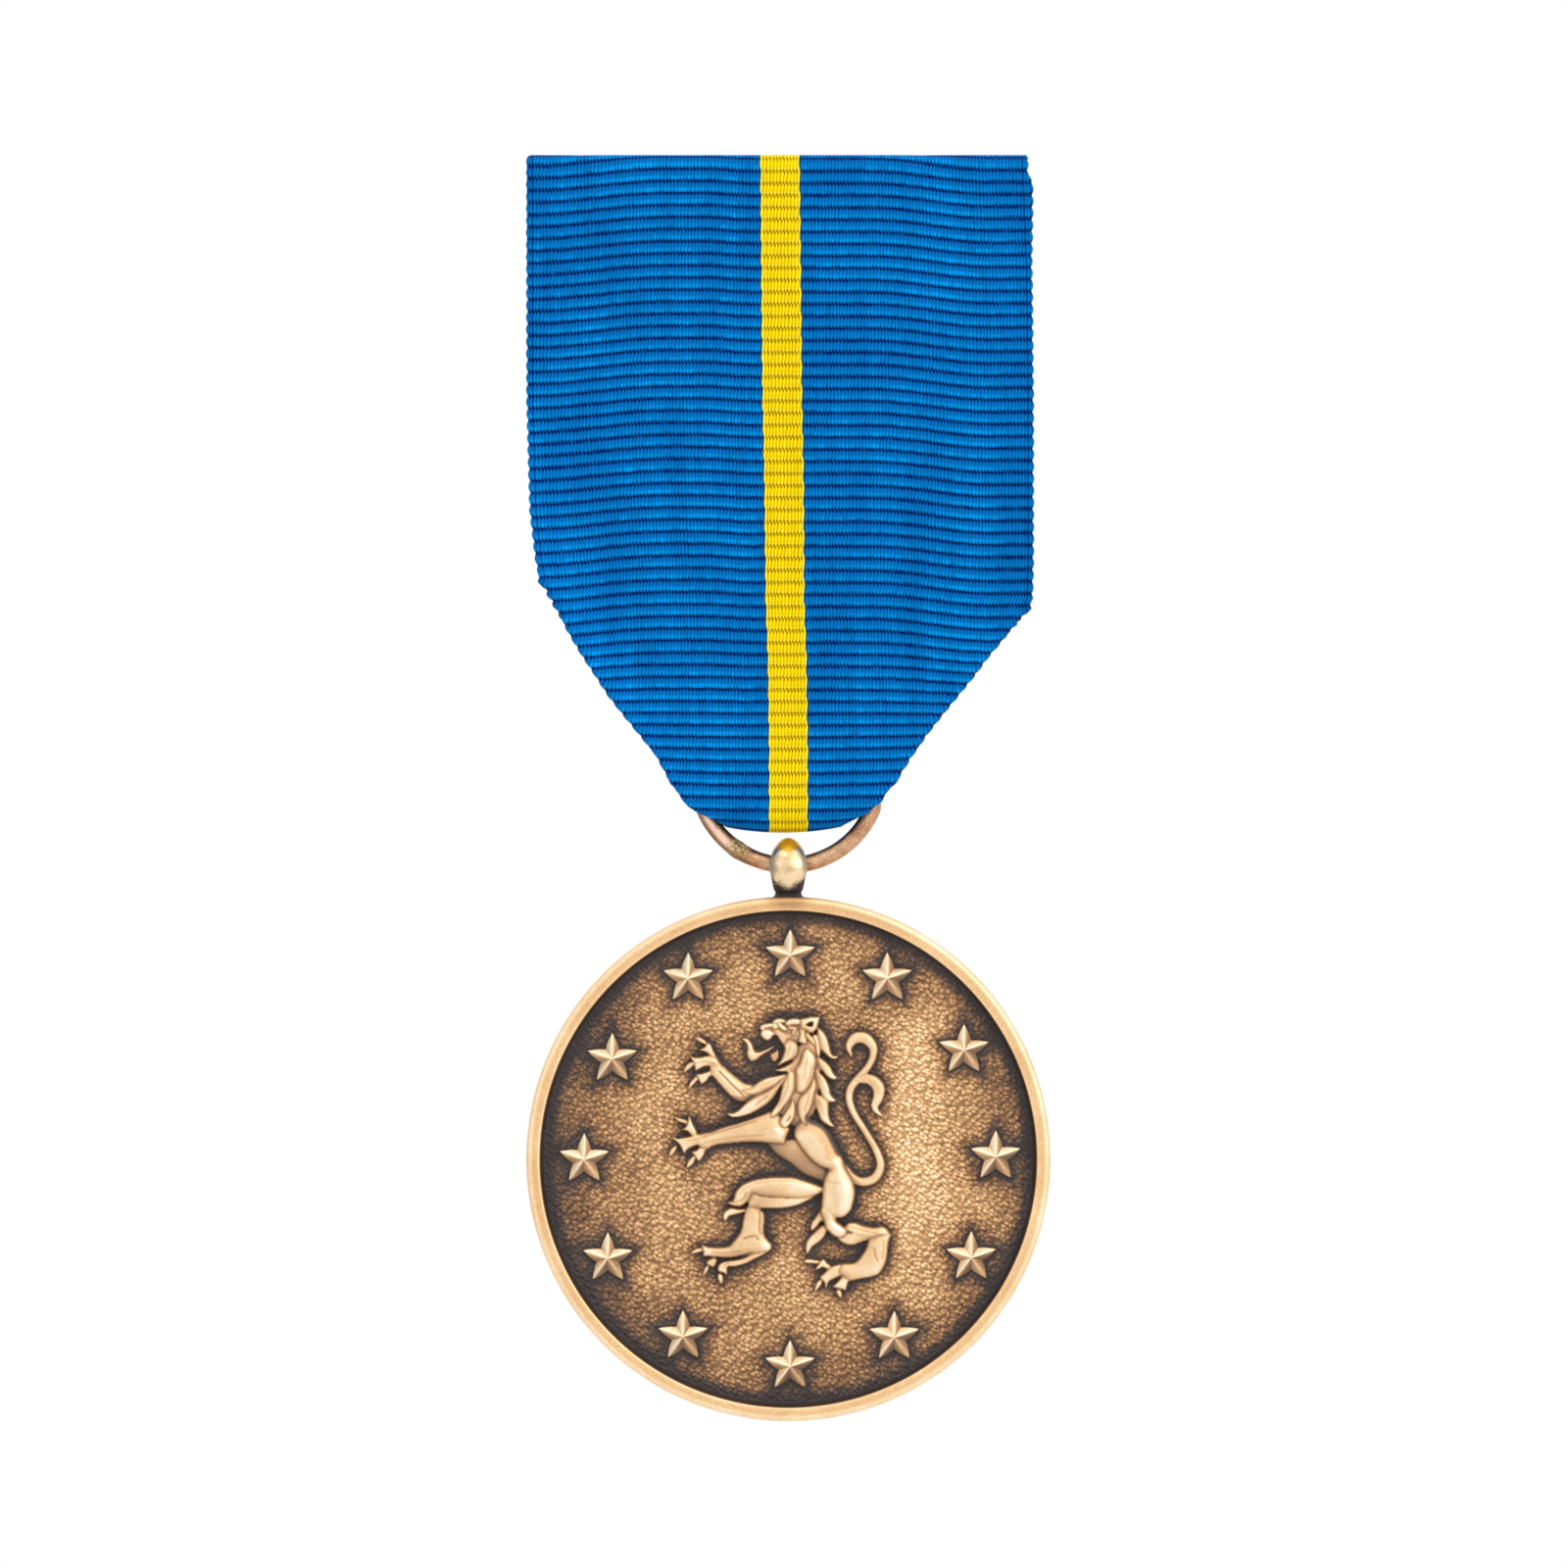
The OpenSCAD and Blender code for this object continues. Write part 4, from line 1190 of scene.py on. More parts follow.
@dataclass(frozen=True)
class Sketch:
    """One sheet of drawn forms.

    Places are in drawing units, right and down from the sheet's corner; a third value marks a sharp corner.
    """

    corner: tuple[float, float]
    unit: float
    # Height at the edge and at the crown as shares of the highest muscle, shoulder in mm, outline
    forms: list[tuple[float, float, float, list[list[float]]]]
    # Half width and depth in mm, line; the depth also sets the painted shade, and a negative depth paints
    # light
    creases: list[tuple[float, float, list[list[float]]]]

    def place(self, rows: list[list[float]], closed: bool) -> Array:
        """A smooth curve through drawn points.

        A sharp corner is its own neighbour, so the curve runs straight into it.

        Args:
            rows: The drawn points.
            closed: Whether the last point joins the first.

        Returns:
            Fine points, in millimetres from the medal's middle.
        """
        marks = [row[:2] for row in rows for _ in range(len(row) - 1)]
        grid = np.array(marks, dtype=float) / self.unit * [1.0, -1.0] + self.corner
        if closed:
            return np.concatenate(curve(np.concatenate([grid[-1:], grid, grid[:2]]), 5))
        grid = np.concatenate([grid[:1], grid, grid[-1:]])
        return np.concatenate(curve(grid, 5) + [grid[-1:]])


def apart(line: Array, x: Array, z: Array, closed: bool) -> Array:
    """Distance from places to a line of points; with a closed line it is negative outside.

    Args:
        line: Points across and up.
        x, z: The places.
        closed: Whether the line is an outline.

    Returns:
        The distance at each place, in the line's own units.
    """
    start = line if closed else line[:-1]
    step = (np.roll(line, -1, axis=0) - line) if closed else np.diff(line, axis=0)
    near = np.full(x.shape, np.inf)
    odd = np.zeros(x.shape, dtype=bool)
    for (ax, az), (dx, dz) in zip(start, step):
        px, pz = x - ax, z - az
        t = np.clip((px * dx + pz * dz) / max(dx * dx + dz * dz, 1e-12), 0, 1)
        near = np.minimum(near, (px - t * dx) ** 2 + (pz - t * dz) ** 2)
        if closed and dz != 0:
            odd ^= ((pz < 0) != (pz - dz < 0)) & (px < dx * pz / dz)
    near = np.sqrt(near)
    return np.where(odd, near, -near) if closed else near


@dataclass
class Lion:
    """The lion in relief, as a field of heights over the medal's front.

    Each form is an outline with a rounded shoulder. Later forms lie over earlier ones, with a groove round
    them painted with shade, and each sheet's creases are cut after its forms and painted with shade. Soften
    is the share of a form's half width that its shoulder takes at least; grow is how much wider every form
    is than it is drawn.
    """

    top: float = 0.95
    pitch: float = 0.058
    foot: float = 0.2
    soften: float = 0.9
    grow: float = 0.05
    tail_low: float = 0.22
    tail_high: float = 0.46

    # Heights over the field: of the empty grid, of what is kept of it, and from which a form counts
    GROUND = -0.16
    KEPT = -0.1
    RAISED = 0.05
    WHOLE = Sketch((-8.9, 11.601), 91.8, [
        (0.42, 0.58, 0.3, [[900, 300], [990, 280], [1030, 420], [1020, 560], [1005, 700], [960, 800],
            [900, 850], [830, 830], [800, 770], [740, 760], [760, 640], [800, 520], [850, 400],
            [870, 350]]),
        (0.16, 0.44, 0.5, [[690, 955], [780, 946], [858, 935], [920, 970], [990, 1050], [1073, 1140],
            [1075, 1200], [1058, 1225], [1014, 1205], [936, 1172], [878, 1132], [829, 1090], [745, 1036],
            [702, 990]]),
    ], [
        # A broad shallow crease paints shade along the belly.
        (0.90, 0.035, [[690, 960], [800, 1040], [900, 1110], [1000, 1180], [1060, 1220]]),
    ])
    PAW_HIGH = Sketch((-8.541, 9.822), 196.7, [
        (0.16, 0.36, 0.2, [[340, 198, 1], [400, 195], [450, 215], [500, 255], [525, 295, 1], [470, 288],
            [420, 262], [380, 235]]),
        (0.16, 0.34, 0.2, [[330, 548], [270, 560], [220, 600], [195, 650], [178, 698, 1], [230, 672],
            [285, 630], [325, 590]]),
        (0.16, 0.34, 0.2, [[355, 755, 1], [310, 800], [275, 850], [252, 932, 1], [300, 892], [350, 842],
            [385, 790]]),
        (0.32, 0.54, 0.25, [[650, 480], [605, 385], [575, 312], [540, 278], [508, 300], [488, 332],
            [412, 375, 1], [470, 392], [520, 420], [570, 460], [625, 505]]),
        (0.32, 0.52, 0.25, [[620, 640], [540, 682], [480, 700], [430, 718], [358, 728, 1], [390, 770],
            [410, 812], [430, 862, 1], [472, 842], [512, 810], [545, 762], [590, 742], [650, 730]]),
        (0.36, 0.60, 0.35, [[1180, 890], [1060, 858], [960, 790], [860, 708], [770, 630], [705, 565],
            [670, 505], [640, 480], [570, 560], [560, 640], [585, 725], [650, 802], [720, 882], [800, 972],
            [880, 1052], [955, 1102], [1050, 1112], [1140, 1060], [1250, 1010]]),
        (0.36, 0.58, 0.25, [[272, 468, 1], [340, 490], [400, 486], [460, 474], [520, 460], [585, 478],
            [650, 505], [690, 560], [650, 610], [590, 598], [530, 600], [470, 612], [412, 640],
            [350, 668, 1], [346, 600], [325, 540], [300, 500]]),
    ], [
        (0.07, 0.10, [[690, 680], [800, 795], [880, 880], [960, 955], [1040, 1040]]),
        (0.05, 0.05, [[700, 610], [830, 715], [930, 805], [1060, 905]]),
        (0.045, 0.05, [[350, 562], [450, 545], [560, 548], [650, 575]]),
        # A broad shallow crease paints shade at the elbow.
        (0.34, 0.06, [[900, 1075], [1040, 1100], [1160, 1040]]),
    ])
    PAW_LOW = Sketch((-8.897, 3.772), 182.65, [
        (0.14, 0.32, 0.2, [[112, 128, 1], [170, 152], [230, 163], [292, 198], [272, 228, 1], [220, 212],
            [160, 186]]),
        (0.14, 0.32, 0.2, [[148, 512, 1], [92, 540], [60, 580], [38, 658, 1], [92, 622], [132, 570]]),
        (0.14, 0.32, 0.2, [[362, 652, 1], [312, 700], [285, 750], [273, 812, 1], [330, 780], [372, 730],
            [386, 680]]),
        (0.30, 0.52, 0.25, [[303, 126, 1], [330, 170], [360, 230], [390, 290], [412, 340], [425, 395],
            [350, 385], [310, 342], [270, 312], [202, 305, 1], [250, 280], [276, 240], [296, 200]]),
        (0.30, 0.52, 0.25, [[580, 500], [520, 478], [470, 510], [430, 550], [400, 578], [340, 595, 1],
            [372, 632], [402, 672], [436, 722, 1], [472, 680], [506, 630], [522, 582], [560, 550]]),
        (0.42, 0.72, 0.55, [[380, 395], [480, 355], [600, 333], [700, 293], [800, 260], [900, 230],
            [1000, 200], [1100, 168], [1200, 130], [1300, 95], [1400, 62], [1480, 85], [1560, 190],
            [1640, 285], [1618, 350], [1590, 415], [1580, 484, 1], [1480, 482], [1340, 470], [1210, 460],
            [1080, 460], [930, 472], [800, 485], [700, 496], [620, 518], [560, 548], [480, 540],
            [410, 490]]),
        (0.36, 0.58, 0.25, [[82, 410, 1], [160, 425], [240, 410], [320, 395], [410, 375], [500, 390],
            [530, 440], [490, 478], [410, 505], [340, 530], [282, 562], [240, 612, 1], [215, 560],
            [185, 500], [140, 450]]),
    ], [
        (0.05, 0.05, [[430, 420], [600, 362], [760, 318], [900, 275], [1050, 230], [1200, 190]]),
        (0.06, 0.03, [[520, 470], [700, 430], [900, 398], [1100, 380], [1300, 370]]),
        (0.04, 0.05, [[190, 450], [300, 445], [430, 430]]),
        # A negative depth: raised and given a painted highlight.
        (0.12, -0.05, [[1450, 300], [1540, 360]]),
    ])
    MANE = Sketch((-4.626, 6.619), 182.65, [
        (0.28, 0.56, 0.25, [[1185, 320], [1260, 360], [1330, 402], [1370, 455], [1376, 540], [1380, 630],
            [1402, 705], [1455, 778, 1], [1400, 776], [1330, 742], [1270, 690], [1240, 600], [1210, 520],
            [1180, 420]]),
        (0.42, 0.70, 0.3, [[228, 306, 1], [300, 290], [370, 250], [450, 190], [560, 135], [680, 110],
            [830, 80, 1], [790, 150], [720, 210], [620, 270], [520, 315], [440, 352], [350, 358],
            [280, 340]]),
        (0.46, 0.74, 0.3, [[34, 604, 1], [110, 604], [180, 568], [250, 500], [330, 430], [430, 368],
            [560, 308], [700, 210], [835, 75, 1], [765, 200], [702, 310], [640, 400], [560, 480],
            [450, 552], [330, 612], [200, 647], [110, 652], [60, 632]]),
        (0.50, 0.78, 0.3, [[850, 45], [920, 60], [935, 150], [930, 280], [900, 350], [860, 430], [790, 520],
            [720, 600], [650, 650], [605, 655, 1], [620, 590], [680, 500], [725, 420], [745, 320],
            [775, 210], [830, 100]]),
        (0.55, 0.82, 0.3, [[900, 430], [932, 480], [942, 560], [932, 640], [892, 712], [842, 778],
            [790, 792], [742, 762], [728, 712], [768, 640], [820, 560], [870, 480]]),
    ], [
        (0.06, 0.07, [[400, 500], [480, 440], [570, 375]]),
        (0.04, 0.04, [[330, 300], [450, 240], [600, 180], [740, 130]]),
        (0.04, 0.04, [[120, 625], [260, 580], [420, 540], [560, 450], [680, 300]]),
        (0.05, 0.05, [[850, 120], [830, 260], [780, 400], [700, 540]]),
        (0.06, 0.12, [[868, 640], [845, 680], [820, 712]]),
        (0.04, 0.04, [[1240, 420], [1290, 540], [1330, 640], [1400, 740]]),
    ])
    HEAD = Sketch((-4.270, 11.246), 182.65, [
        (0.34, 0.50, 0.3, [[430, 300], [520, 275], [600, 235], [740, 225], [940, 215], [1010, 300],
            [1010, 480], [900, 510], [800, 500], [700, 490], [630, 405], [560, 360], [470, 350]]),
        (0.14, 0.42, 0.25, [[165, 462, 1], [190, 453], [240, 465], [285, 510], [312, 565], [335, 622],
            [390, 635], [450, 618], [520, 590], [590, 556, 1], [530, 612], [465, 655], [405, 700],
            [345, 748], [290, 757], [246, 715], [229, 655], [236, 590], [225, 530], [195, 490]]),
        (0.06, 0.18, 0.2, [[545, 668], [600, 640], [640, 602, 1], [656, 660], [648, 720], [600, 762],
            [562, 735]]),
        (0.30, 0.52, 0.2, [[975, 650], [950, 735], [905, 788], [850, 845], [775, 892], [690, 893],
            [608, 882, 1], [690, 850], [765, 812], [825, 772], [880, 735], [930, 685]]),
        (0.28, 0.56, 0.22, [[1172, 312, 1], [1215, 340], [1262, 392], [1300, 470], [1326, 560], [1345, 640],
            [1380, 688], [1442, 686, 1], [1420, 716], [1370, 724], [1320, 702], [1260, 652], [1215, 602],
            [1190, 530], [1178, 450], [1162, 380]]),
        (0.30, 0.58, 0.22, [[1165, 690], [1220, 720], [1290, 780], [1342, 842], [1372, 912], [1426, 976, 1],
            [1408, 996], [1350, 992], [1290, 952], [1230, 882], [1182, 822], [1158, 750]]),
        (0.32, 0.58, 0.22, [[1142, 845], [1190, 900], [1250, 960], [1292, 1030], [1322, 1112], [1342, 1202],
            [1414, 1276, 1], [1390, 1292], [1320, 1292], [1268, 1262], [1220, 1192], [1180, 1092],
            [1150, 992], [1136, 920]]),
        (0.42, 0.66, 0.2, [[1105, 415], [1150, 408], [1176, 470], [1196, 560], [1202, 640], [1184, 705],
            [1150, 640], [1138, 560], [1120, 490]]),
        (0.42, 0.64, 0.2, [[1000, 382], [1050, 388], [1092, 440], [1132, 520], [1120, 545], [1078, 500],
            [1028, 450]]),
        (0.55, 0.88, 0.4, [[980, 625], [1030, 585], [1082, 620], [1132, 680], [1154, 760], [1134, 860],
            [1118, 950], [1088, 1040], [1042, 1120], [1000, 1170], [930, 1178], [884, 1162, 1], [880, 1050],
            [880, 950], [876, 870], [920, 800], [950, 720]]),
        (0.55, 0.84, 0.35, [[1120, 985], [1150, 1090], [1126, 1200], [1106, 1310], [1062, 1420],
            [1010, 1500], [1015, 1600, 1], [965, 1570], [920, 1490], [900, 1400], [905, 1300], [940, 1225],
            [1000, 1170], [1060, 1100]]),
        (0.42, 0.56, 0.2, [[560, 348], [640, 340], [700, 372], [760, 392], [830, 372], [880, 335],
            [935, 330], [942, 420], [905, 475], [860, 482], [800, 472], [765, 505], [720, 535], [690, 502],
            [655, 452], [622, 412], [588, 400]]),
        (0.44, 0.74, 0.25, [[785, 470], [850, 488], [892, 520], [912, 580], [906, 645], [872, 702],
            [805, 742], [722, 776], [636, 815, 1], [688, 742], [712, 680], [732, 600], [722, 545],
            [752, 500]]),
        (0.44, 0.72, 0.22, [[412, 400], [420, 368], [450, 345], [505, 332], [552, 345], [588, 375],
            [602, 395], [572, 422], [548, 455], [508, 477], [462, 462], [428, 430]]),
        (0.44, 0.64, 0.15, [[410, 312], [418, 288], [470, 268], [540, 256], [590, 262], [575, 295],
            [520, 305], [470, 315], [440, 337], [415, 338]]),
        (0.48, 0.72, 0.2, [[925, 300], [972, 300], [1002, 350], [1002, 420], [1022, 480], [1016, 526],
            [960, 516], [915, 490], [925, 440], [930, 370]]),
        (0.50, 0.72, 0.2, [[938, 205], [1000, 188], [1080, 172], [1195, 176, 1], [1178, 250], [1158, 320],
            [1132, 352], [1100, 382], [1050, 368], [1000, 340], [955, 330], [936, 280]]),
        (0.66, 0.10, 0.12, [[992, 284, 1], [1030, 250], [1070, 230], [1114, 222, 1], [1114, 262],
            [1100, 308, 1], [1050, 298]]),
        (0.50, 0.76, 0.2, [[740, 265], [768, 216], [830, 194], [905, 194], [932, 216], [926, 266],
            [870, 270], [820, 272], [780, 284]]),
        (0.50, 0.74, 0.18, [[575, 250], [592, 214], [640, 196], [700, 198], [738, 216], [722, 242],
            [680, 240], [640, 250], [610, 268]]),
        (0.52, 0.74, 0.16, [[640, 252], [672, 246], [706, 272], [745, 302], [768, 336], [740, 352],
            [695, 336], [655, 298]]),
        (0.50, 0.66, 0.14, [[566, 292], [588, 262], [622, 274], [640, 306], [618, 330], [584, 322]]),
        (0.50, 0.70, 0.12, [[780, 300], [830, 296], [884, 308], [890, 340], [862, 372], [868, 410],
            [840, 402], [828, 368], [852, 334], [800, 330]]),
        (0.55, 0.30, 0.1, [[750, 462], [768, 448], [786, 464], [770, 484]]),
        (0.55, 0.30, 0.1, [[806, 430], [826, 418], [842, 434], [824, 448]]),
    ], [
        (0.045, 0.05, [[800, 505], [802, 560], [790, 620], [760, 680], [720, 730]]),
        (0.045, 0.05, [[850, 520], [862, 600], [835, 670]]),
        (0.05, 0.04, [[1042, 690], [1022, 760], [1000, 850], [985, 980]]),
        (0.05, 0.04, [[1090, 850], [1062, 960], [1005, 1060]]),
        (0.05, 0.06, [[1060, 1180], [1030, 1300], [985, 1420]]),
        (0.04, 0.03, [[1230, 400], [1262, 500], [1292, 590], [1340, 670]]),
        (0.04, 0.03, [[1222, 762], [1292, 845], [1360, 940]]),
        (0.04, 0.03, [[1182, 950], [1232, 1050], [1275, 1150], [1330, 1240]]),
    ])
    LEG_FRONT = Sketch((-7.829, -0.854), 182.65, [
        (0.14, 0.34, 0.2, [[132, 1106, 1], [160, 1068], [212, 1040], [290, 1028, 1], [292, 1066],
            [230, 1088]]),
        (0.14, 0.30, 0.2, [[352, 1262, 1], [318, 1302], [298, 1392, 1], [342, 1352], [372, 1300]]),
        (0.16, 0.36, 0.2, [[498, 1368, 1], [540, 1374], [562, 1420], [552, 1508, 1], [510, 1470],
            [494, 1420]]),
        (0.24, 0.42, 0.2, [[342, 1225], [380, 1180], [430, 1163], [482, 1175], [472, 1232], [430, 1278],
            [378, 1256]]),
        (0.28, 0.50, 0.22, [[592, 672, 1], [564, 622], [574, 568], [620, 522], [680, 498], [762, 510],
            [885, 508, 1], [842, 548], [780, 567], [700, 587], [642, 604], [616, 642]]),
        (0.36, 0.56, 0.25, [[1170, 1060], [1060, 1130], [960, 1182], [860, 1232], [740, 1266], [632, 1276],
            [616, 1310], [612, 1380, 1], [560, 1350], [498, 1328], [502, 1270], [540, 1222], [620, 1200],
            [720, 1188], [820, 1165], [900, 1130], [1000, 1080], [1080, 1030]]),
        (0.42, 0.68, 0.45, [[890, 470], [950, 450], [1010, 480], [1060, 520], [1100, 560], [1112, 640],
            [1106, 740], [1106, 830], [1122, 880], [1162, 930], [1198, 980], [1202, 1030], [1160, 1064],
            [1090, 1084], [1000, 1100], [900, 1110], [850, 1125], [740, 1142], [640, 1152], [520, 1147],
            [400, 1137], [302, 1134, 1], [300, 1060], [282, 994, 1], [350, 1015], [440, 1026], [540, 1026],
            [640, 1004], [690, 960], [740, 900], [790, 830], [816, 750], [832, 660], [852, 570]]),
        (0.42, 0.64, 0.35, [[900, 395], [915, 330], [955, 285], [1150, 300], [1400, 315], [1650, 310],
            [1780, 300], [1782, 335], [1720, 376], [1640, 418], [1550, 454], [1450, 478], [1350, 492],
            [1200, 500], [1100, 500], [980, 490], [905, 470]]),
        (0.48, 0.74, 0.5, [[712, 360], [732, 288], [778, 226], [850, 174], [950, 134], [1060, 108],
            [1200, 93], [1350, 90], [1500, 97], [1675, 148], [1790, 185], [1885, 235], [1845, 300],
            [1750, 336], [1600, 360], [1400, 354], [1200, 346], [1050, 326], [960, 298], [935, 330],
            [900, 390], [852, 440], [790, 470], [720, 465], [672, 450], [626, 426, 1], [690, 412]]),
    ], [
        (0.05, 0.03, [[790, 300], [870, 230], [980, 175], [1150, 145], [1400, 135], [1600, 160]]),
        (0.05, 0.07, [[700, 430], [760, 400], [810, 385], [850, 340], [870, 290]]),
        (0.05, 0.08, [[1046, 540], [1050, 620], [1046, 700], [1046, 780], [1062, 850]]),
        (0.13, 0.05, [[850, 900], [920, 872], [990, 872], [1020, 910]]),
        # Raised and given a painted highlight on the heel.
        (0.34, -0.05, [[1120, 985], [1150, 1015]]),
        (0.05, 0.06, [[760, 1132], [860, 1112], [960, 1080]]),
        (0.05, 0.04, [[400, 1075], [540, 1090], [680, 1082], [790, 1060]]),
        (0.05, 0.05, [[560, 1300], [580, 1250], [640, 1225]]),
    ])
    LEG_REAR = Sketch((0.712, -0.854), 168.6, [
        (0.14, 0.34, 0.2, [[62, 1122, 1], [110, 1088], [180, 1094], [262, 1106, 1], [240, 1137],
            [160, 1137]]),
        (0.14, 0.32, 0.2, [[275, 1335, 1], [230, 1380], [202, 1486, 1], [252, 1432], [292, 1380]]),
        (0.14, 0.32, 0.2, [[468, 1466, 1], [512, 1460], [534, 1510], [522, 1566, 1], [480, 1510]]),
        (0.30, 0.50, 0.22, [[212, 1212, 1], [245, 1160], [280, 1108], [312, 1088], [350, 1130], [420, 1190],
            [380, 1215], [300, 1182], [260, 1202]]),
        (0.40, 0.60, 0.28, [[268, 1310, 1], [320, 1258], [370, 1210], [430, 1170], [520, 1150], [640, 1140],
            [700, 1200], [600, 1270], [500, 1302], [425, 1332], [372, 1362], [340, 1440, 1], [325, 1370]]),
        (0.42, 0.62, 0.28, [[428, 1424, 1], [470, 1380], [510, 1330], [570, 1290], [660, 1300], [612, 1370],
            [578, 1466, 1], [540, 1447], [490, 1437]]),
        (0.28, 0.50, 0.22, [[270, 495], [240, 530], [200, 590], [165, 642], [154, 700], [168, 738, 1],
            [202, 712], [242, 672], [272, 630], [330, 600], [320, 520]]),
        (0.28, 0.50, 0.22, [[310, 672], [260, 700], [200, 760], [140, 820], [104, 880], [94, 950],
            [108, 1018, 1], [142, 980], [172, 930], [232, 890], [292, 840], [330, 790], [350, 730]]),
        (0.40, 0.66, 0.35, [[590, 665], [630, 640], [700, 640], [780, 670], [860, 690], [940, 700],
            [1020, 690], [1072, 705], [1102, 740], [1138, 800, 1], [1100, 840], [1060, 852], [980, 852],
            [900, 842], [850, 852], [790, 872], [730, 892], [660, 912], [590, 902], [530, 872], [480, 820],
            [520, 760]]),
        (0.42, 0.70, 0.45, [[862, 862], [920, 820], [1010, 790], [1110, 800], [1100, 900], [1092, 1000],
            [1076, 1092], [1042, 1182], [982, 1262], [880, 1302], [760, 1322], [650, 1345], [590, 1320],
            [540, 1290], [500, 1230], [540, 1150], [620, 1142], [690, 1130], [750, 1082], [800, 1012],
            [840, 942]]),
        (0.55, 1.00, 0.75, [[370, 0], [340, 60], [315, 130], [300, 220], [294, 330], [288, 430], [275, 500],
            [312, 600], [332, 680], [372, 740], [430, 790], [490, 816], [542, 812], [584, 782], [598, 735],
            [560, 690], [508, 650], [465, 606], [482, 578], [540, 572], [592, 540], [642, 482], [668, 400],
            [687, 320], [692, 250], [680, 160], [645, 80], [606, 20], [570, -50], [548, -130], [500, -230],
            [440, -350], [370, -480], [290, -560], [200, -610], [110, -630], [30, -600], [-30, -540],
            [-45, -440], [0, -350], [70, -240], [180, -120], [290, -50], [385, -10]]),
    ], [
        (0.14, 0.10, [[612, 752], [650, 762]]),
        (0.05, 0.05, [[690, 765], [740, 790], [800, 790]]),
        (0.05, 0.04, [[640, 690], [740, 720], [860, 750], [980, 770]]),
        (0.09, 0.05, [[930, 960], [942, 1040], [975, 1110]]),
        (0.05, 0.05, [[1040, 850], [1048, 960], [1030, 1080]]),
        (0.05, 0.05, [[470, 1320], [520, 1290], [570, 1270]]),
        (0.06, 0.03, [[350, 110], [420, 150], [520, 160]]),
        (0.05, 0.04, [[350, 470], [420, 520], [470, 590]]),
        # Painted shade in a broad band over the haunch's top, a painted shadow along its back edge, and a
        # raise with a painted highlight on the haunch.
        (0.75, 0.05, [[-14, -540], [100, -590], [220, -540], [308, -451], [380, -340], [434, -235]]),
        (0.32, 0.10, [[160, -620], [290, -565], [375, -480], [445, -350], [505, -230]]),
        (0.70, -0.03, [[560, 210], [590, 300], [600, 410]]),
    ])
    # Tail and its branch: place across, up and half width, in millimetres
    TAIL = [
        [[4.0, -0.72, 0.36], [4.65, -1.38, 0.33], [5.43, -1.68, 0.31], [6.28, -1.38, 0.33],
         [6.70, -0.5, 0.30], [6.40, 0.6, 0.26], [5.59, 2.0, 0.24], [4.83, 3.2, 0.245], [4.43, 4.3, 0.26],
         [4.58, 5.2, 0.28], [5.20, 5.95, 0.28], [5.80, 6.7, 0.25], [6.15, 7.45, 0.25], [6.14, 8.15, 0.32],
         [5.59, 8.75, 0.40], [4.85, 8.75, 0.38], [4.41, 8.15, 0.24], [4.62, 7.4, 0.03]],
        [[5.0, 5.75, 0.20], [5.95, 5.75, 0.37], [6.53, 5.20, 0.43], [6.53, 4.5, 0.36], [6.28, 3.85, 0.25],
         [6.43, 3.45, 0.16], [6.93, 3.06, 0.02]],
    ]

    def tail(self, run: list[list[float]], x: Array, z: Array) -> Array:
        """Distance inside a run: at each place the most of half width less distance over fine stations.

        Args:
            run: Places across and up, and the half width there.
            x, z: The places.

        Returns:
            The distance, not less than -1.
        """
        rows = np.array(run)
        ends = np.concatenate([[2 * rows[0] - rows[1]], rows, [2 * rows[-1] - rows[-2]]])
        deep = np.full(x.shape, -1.0)
        for cx, cz, half in np.concatenate(curve(ends, 15)):
            deep = np.maximum(deep, half - np.hypot(x - cx, z - cz))
        return deep

    def lay(
        self, old: Array, dark: Array, deep: Array, low: float, high: float, shoulder: float
    ) -> tuple[Array, Array]:
        """Lays one form over the heights.

        Its height rises from its edge to its crown like a quarter of a circle over its shoulder. Just
        outside it, what lies below is cut down a little and given painted shade. Inside it, painted shade
        falls off from its edge to its crown, and a hollow gets painted shade towards its middle. A form that
        hardly stands above what it covers merges with it, with next to no groove.

        Args:
            old, dark: The heights and the painted shade so far.
            deep: Distance inside the form, negative outside.
            low, high: Height at the edge and at the crown, as shares of the top; a hollow's crown is lower.
            shoulder: Width of the shoulder.

        Returns:
            The new heights and painted shade.
        """
        hollow = high < low
        deep = deep - self.grow if hollow else deep + self.grow
        most = float(deep.max())
        t = np.clip(deep / max(shoulder, self.soften * most), 0, 1)
        new = self.top * (low + (high - low) * np.sqrt(np.maximum(1 - (1 - t) ** 2, 0)))
        inside = deep > 0
        under = old[inside & (old > self.RAISED)]
        over = 1.0
        if under.size > 30 and not hollow:
            over = float(np.clip((self.top * high - under.mean()) / 0.25, 0.15, 1.0))
            new = np.maximum(new, old - 0.2 * over)
        near = over * np.clip(1 + deep / 0.07, 0, 1) * (old > self.RAISED)
        t = np.clip(deep / np.clip(0.9 * most, 0.12, 0.75), 0, 1)
        tone = 0.6 * t if hollow else 0.39 * over * (1 - np.sqrt(1 - (1 - t) ** 2))
        tone = np.where(inside, tone, np.maximum(dark, 0.31 * near))
        return np.where(inside, new, old - 0.06 * near), tone

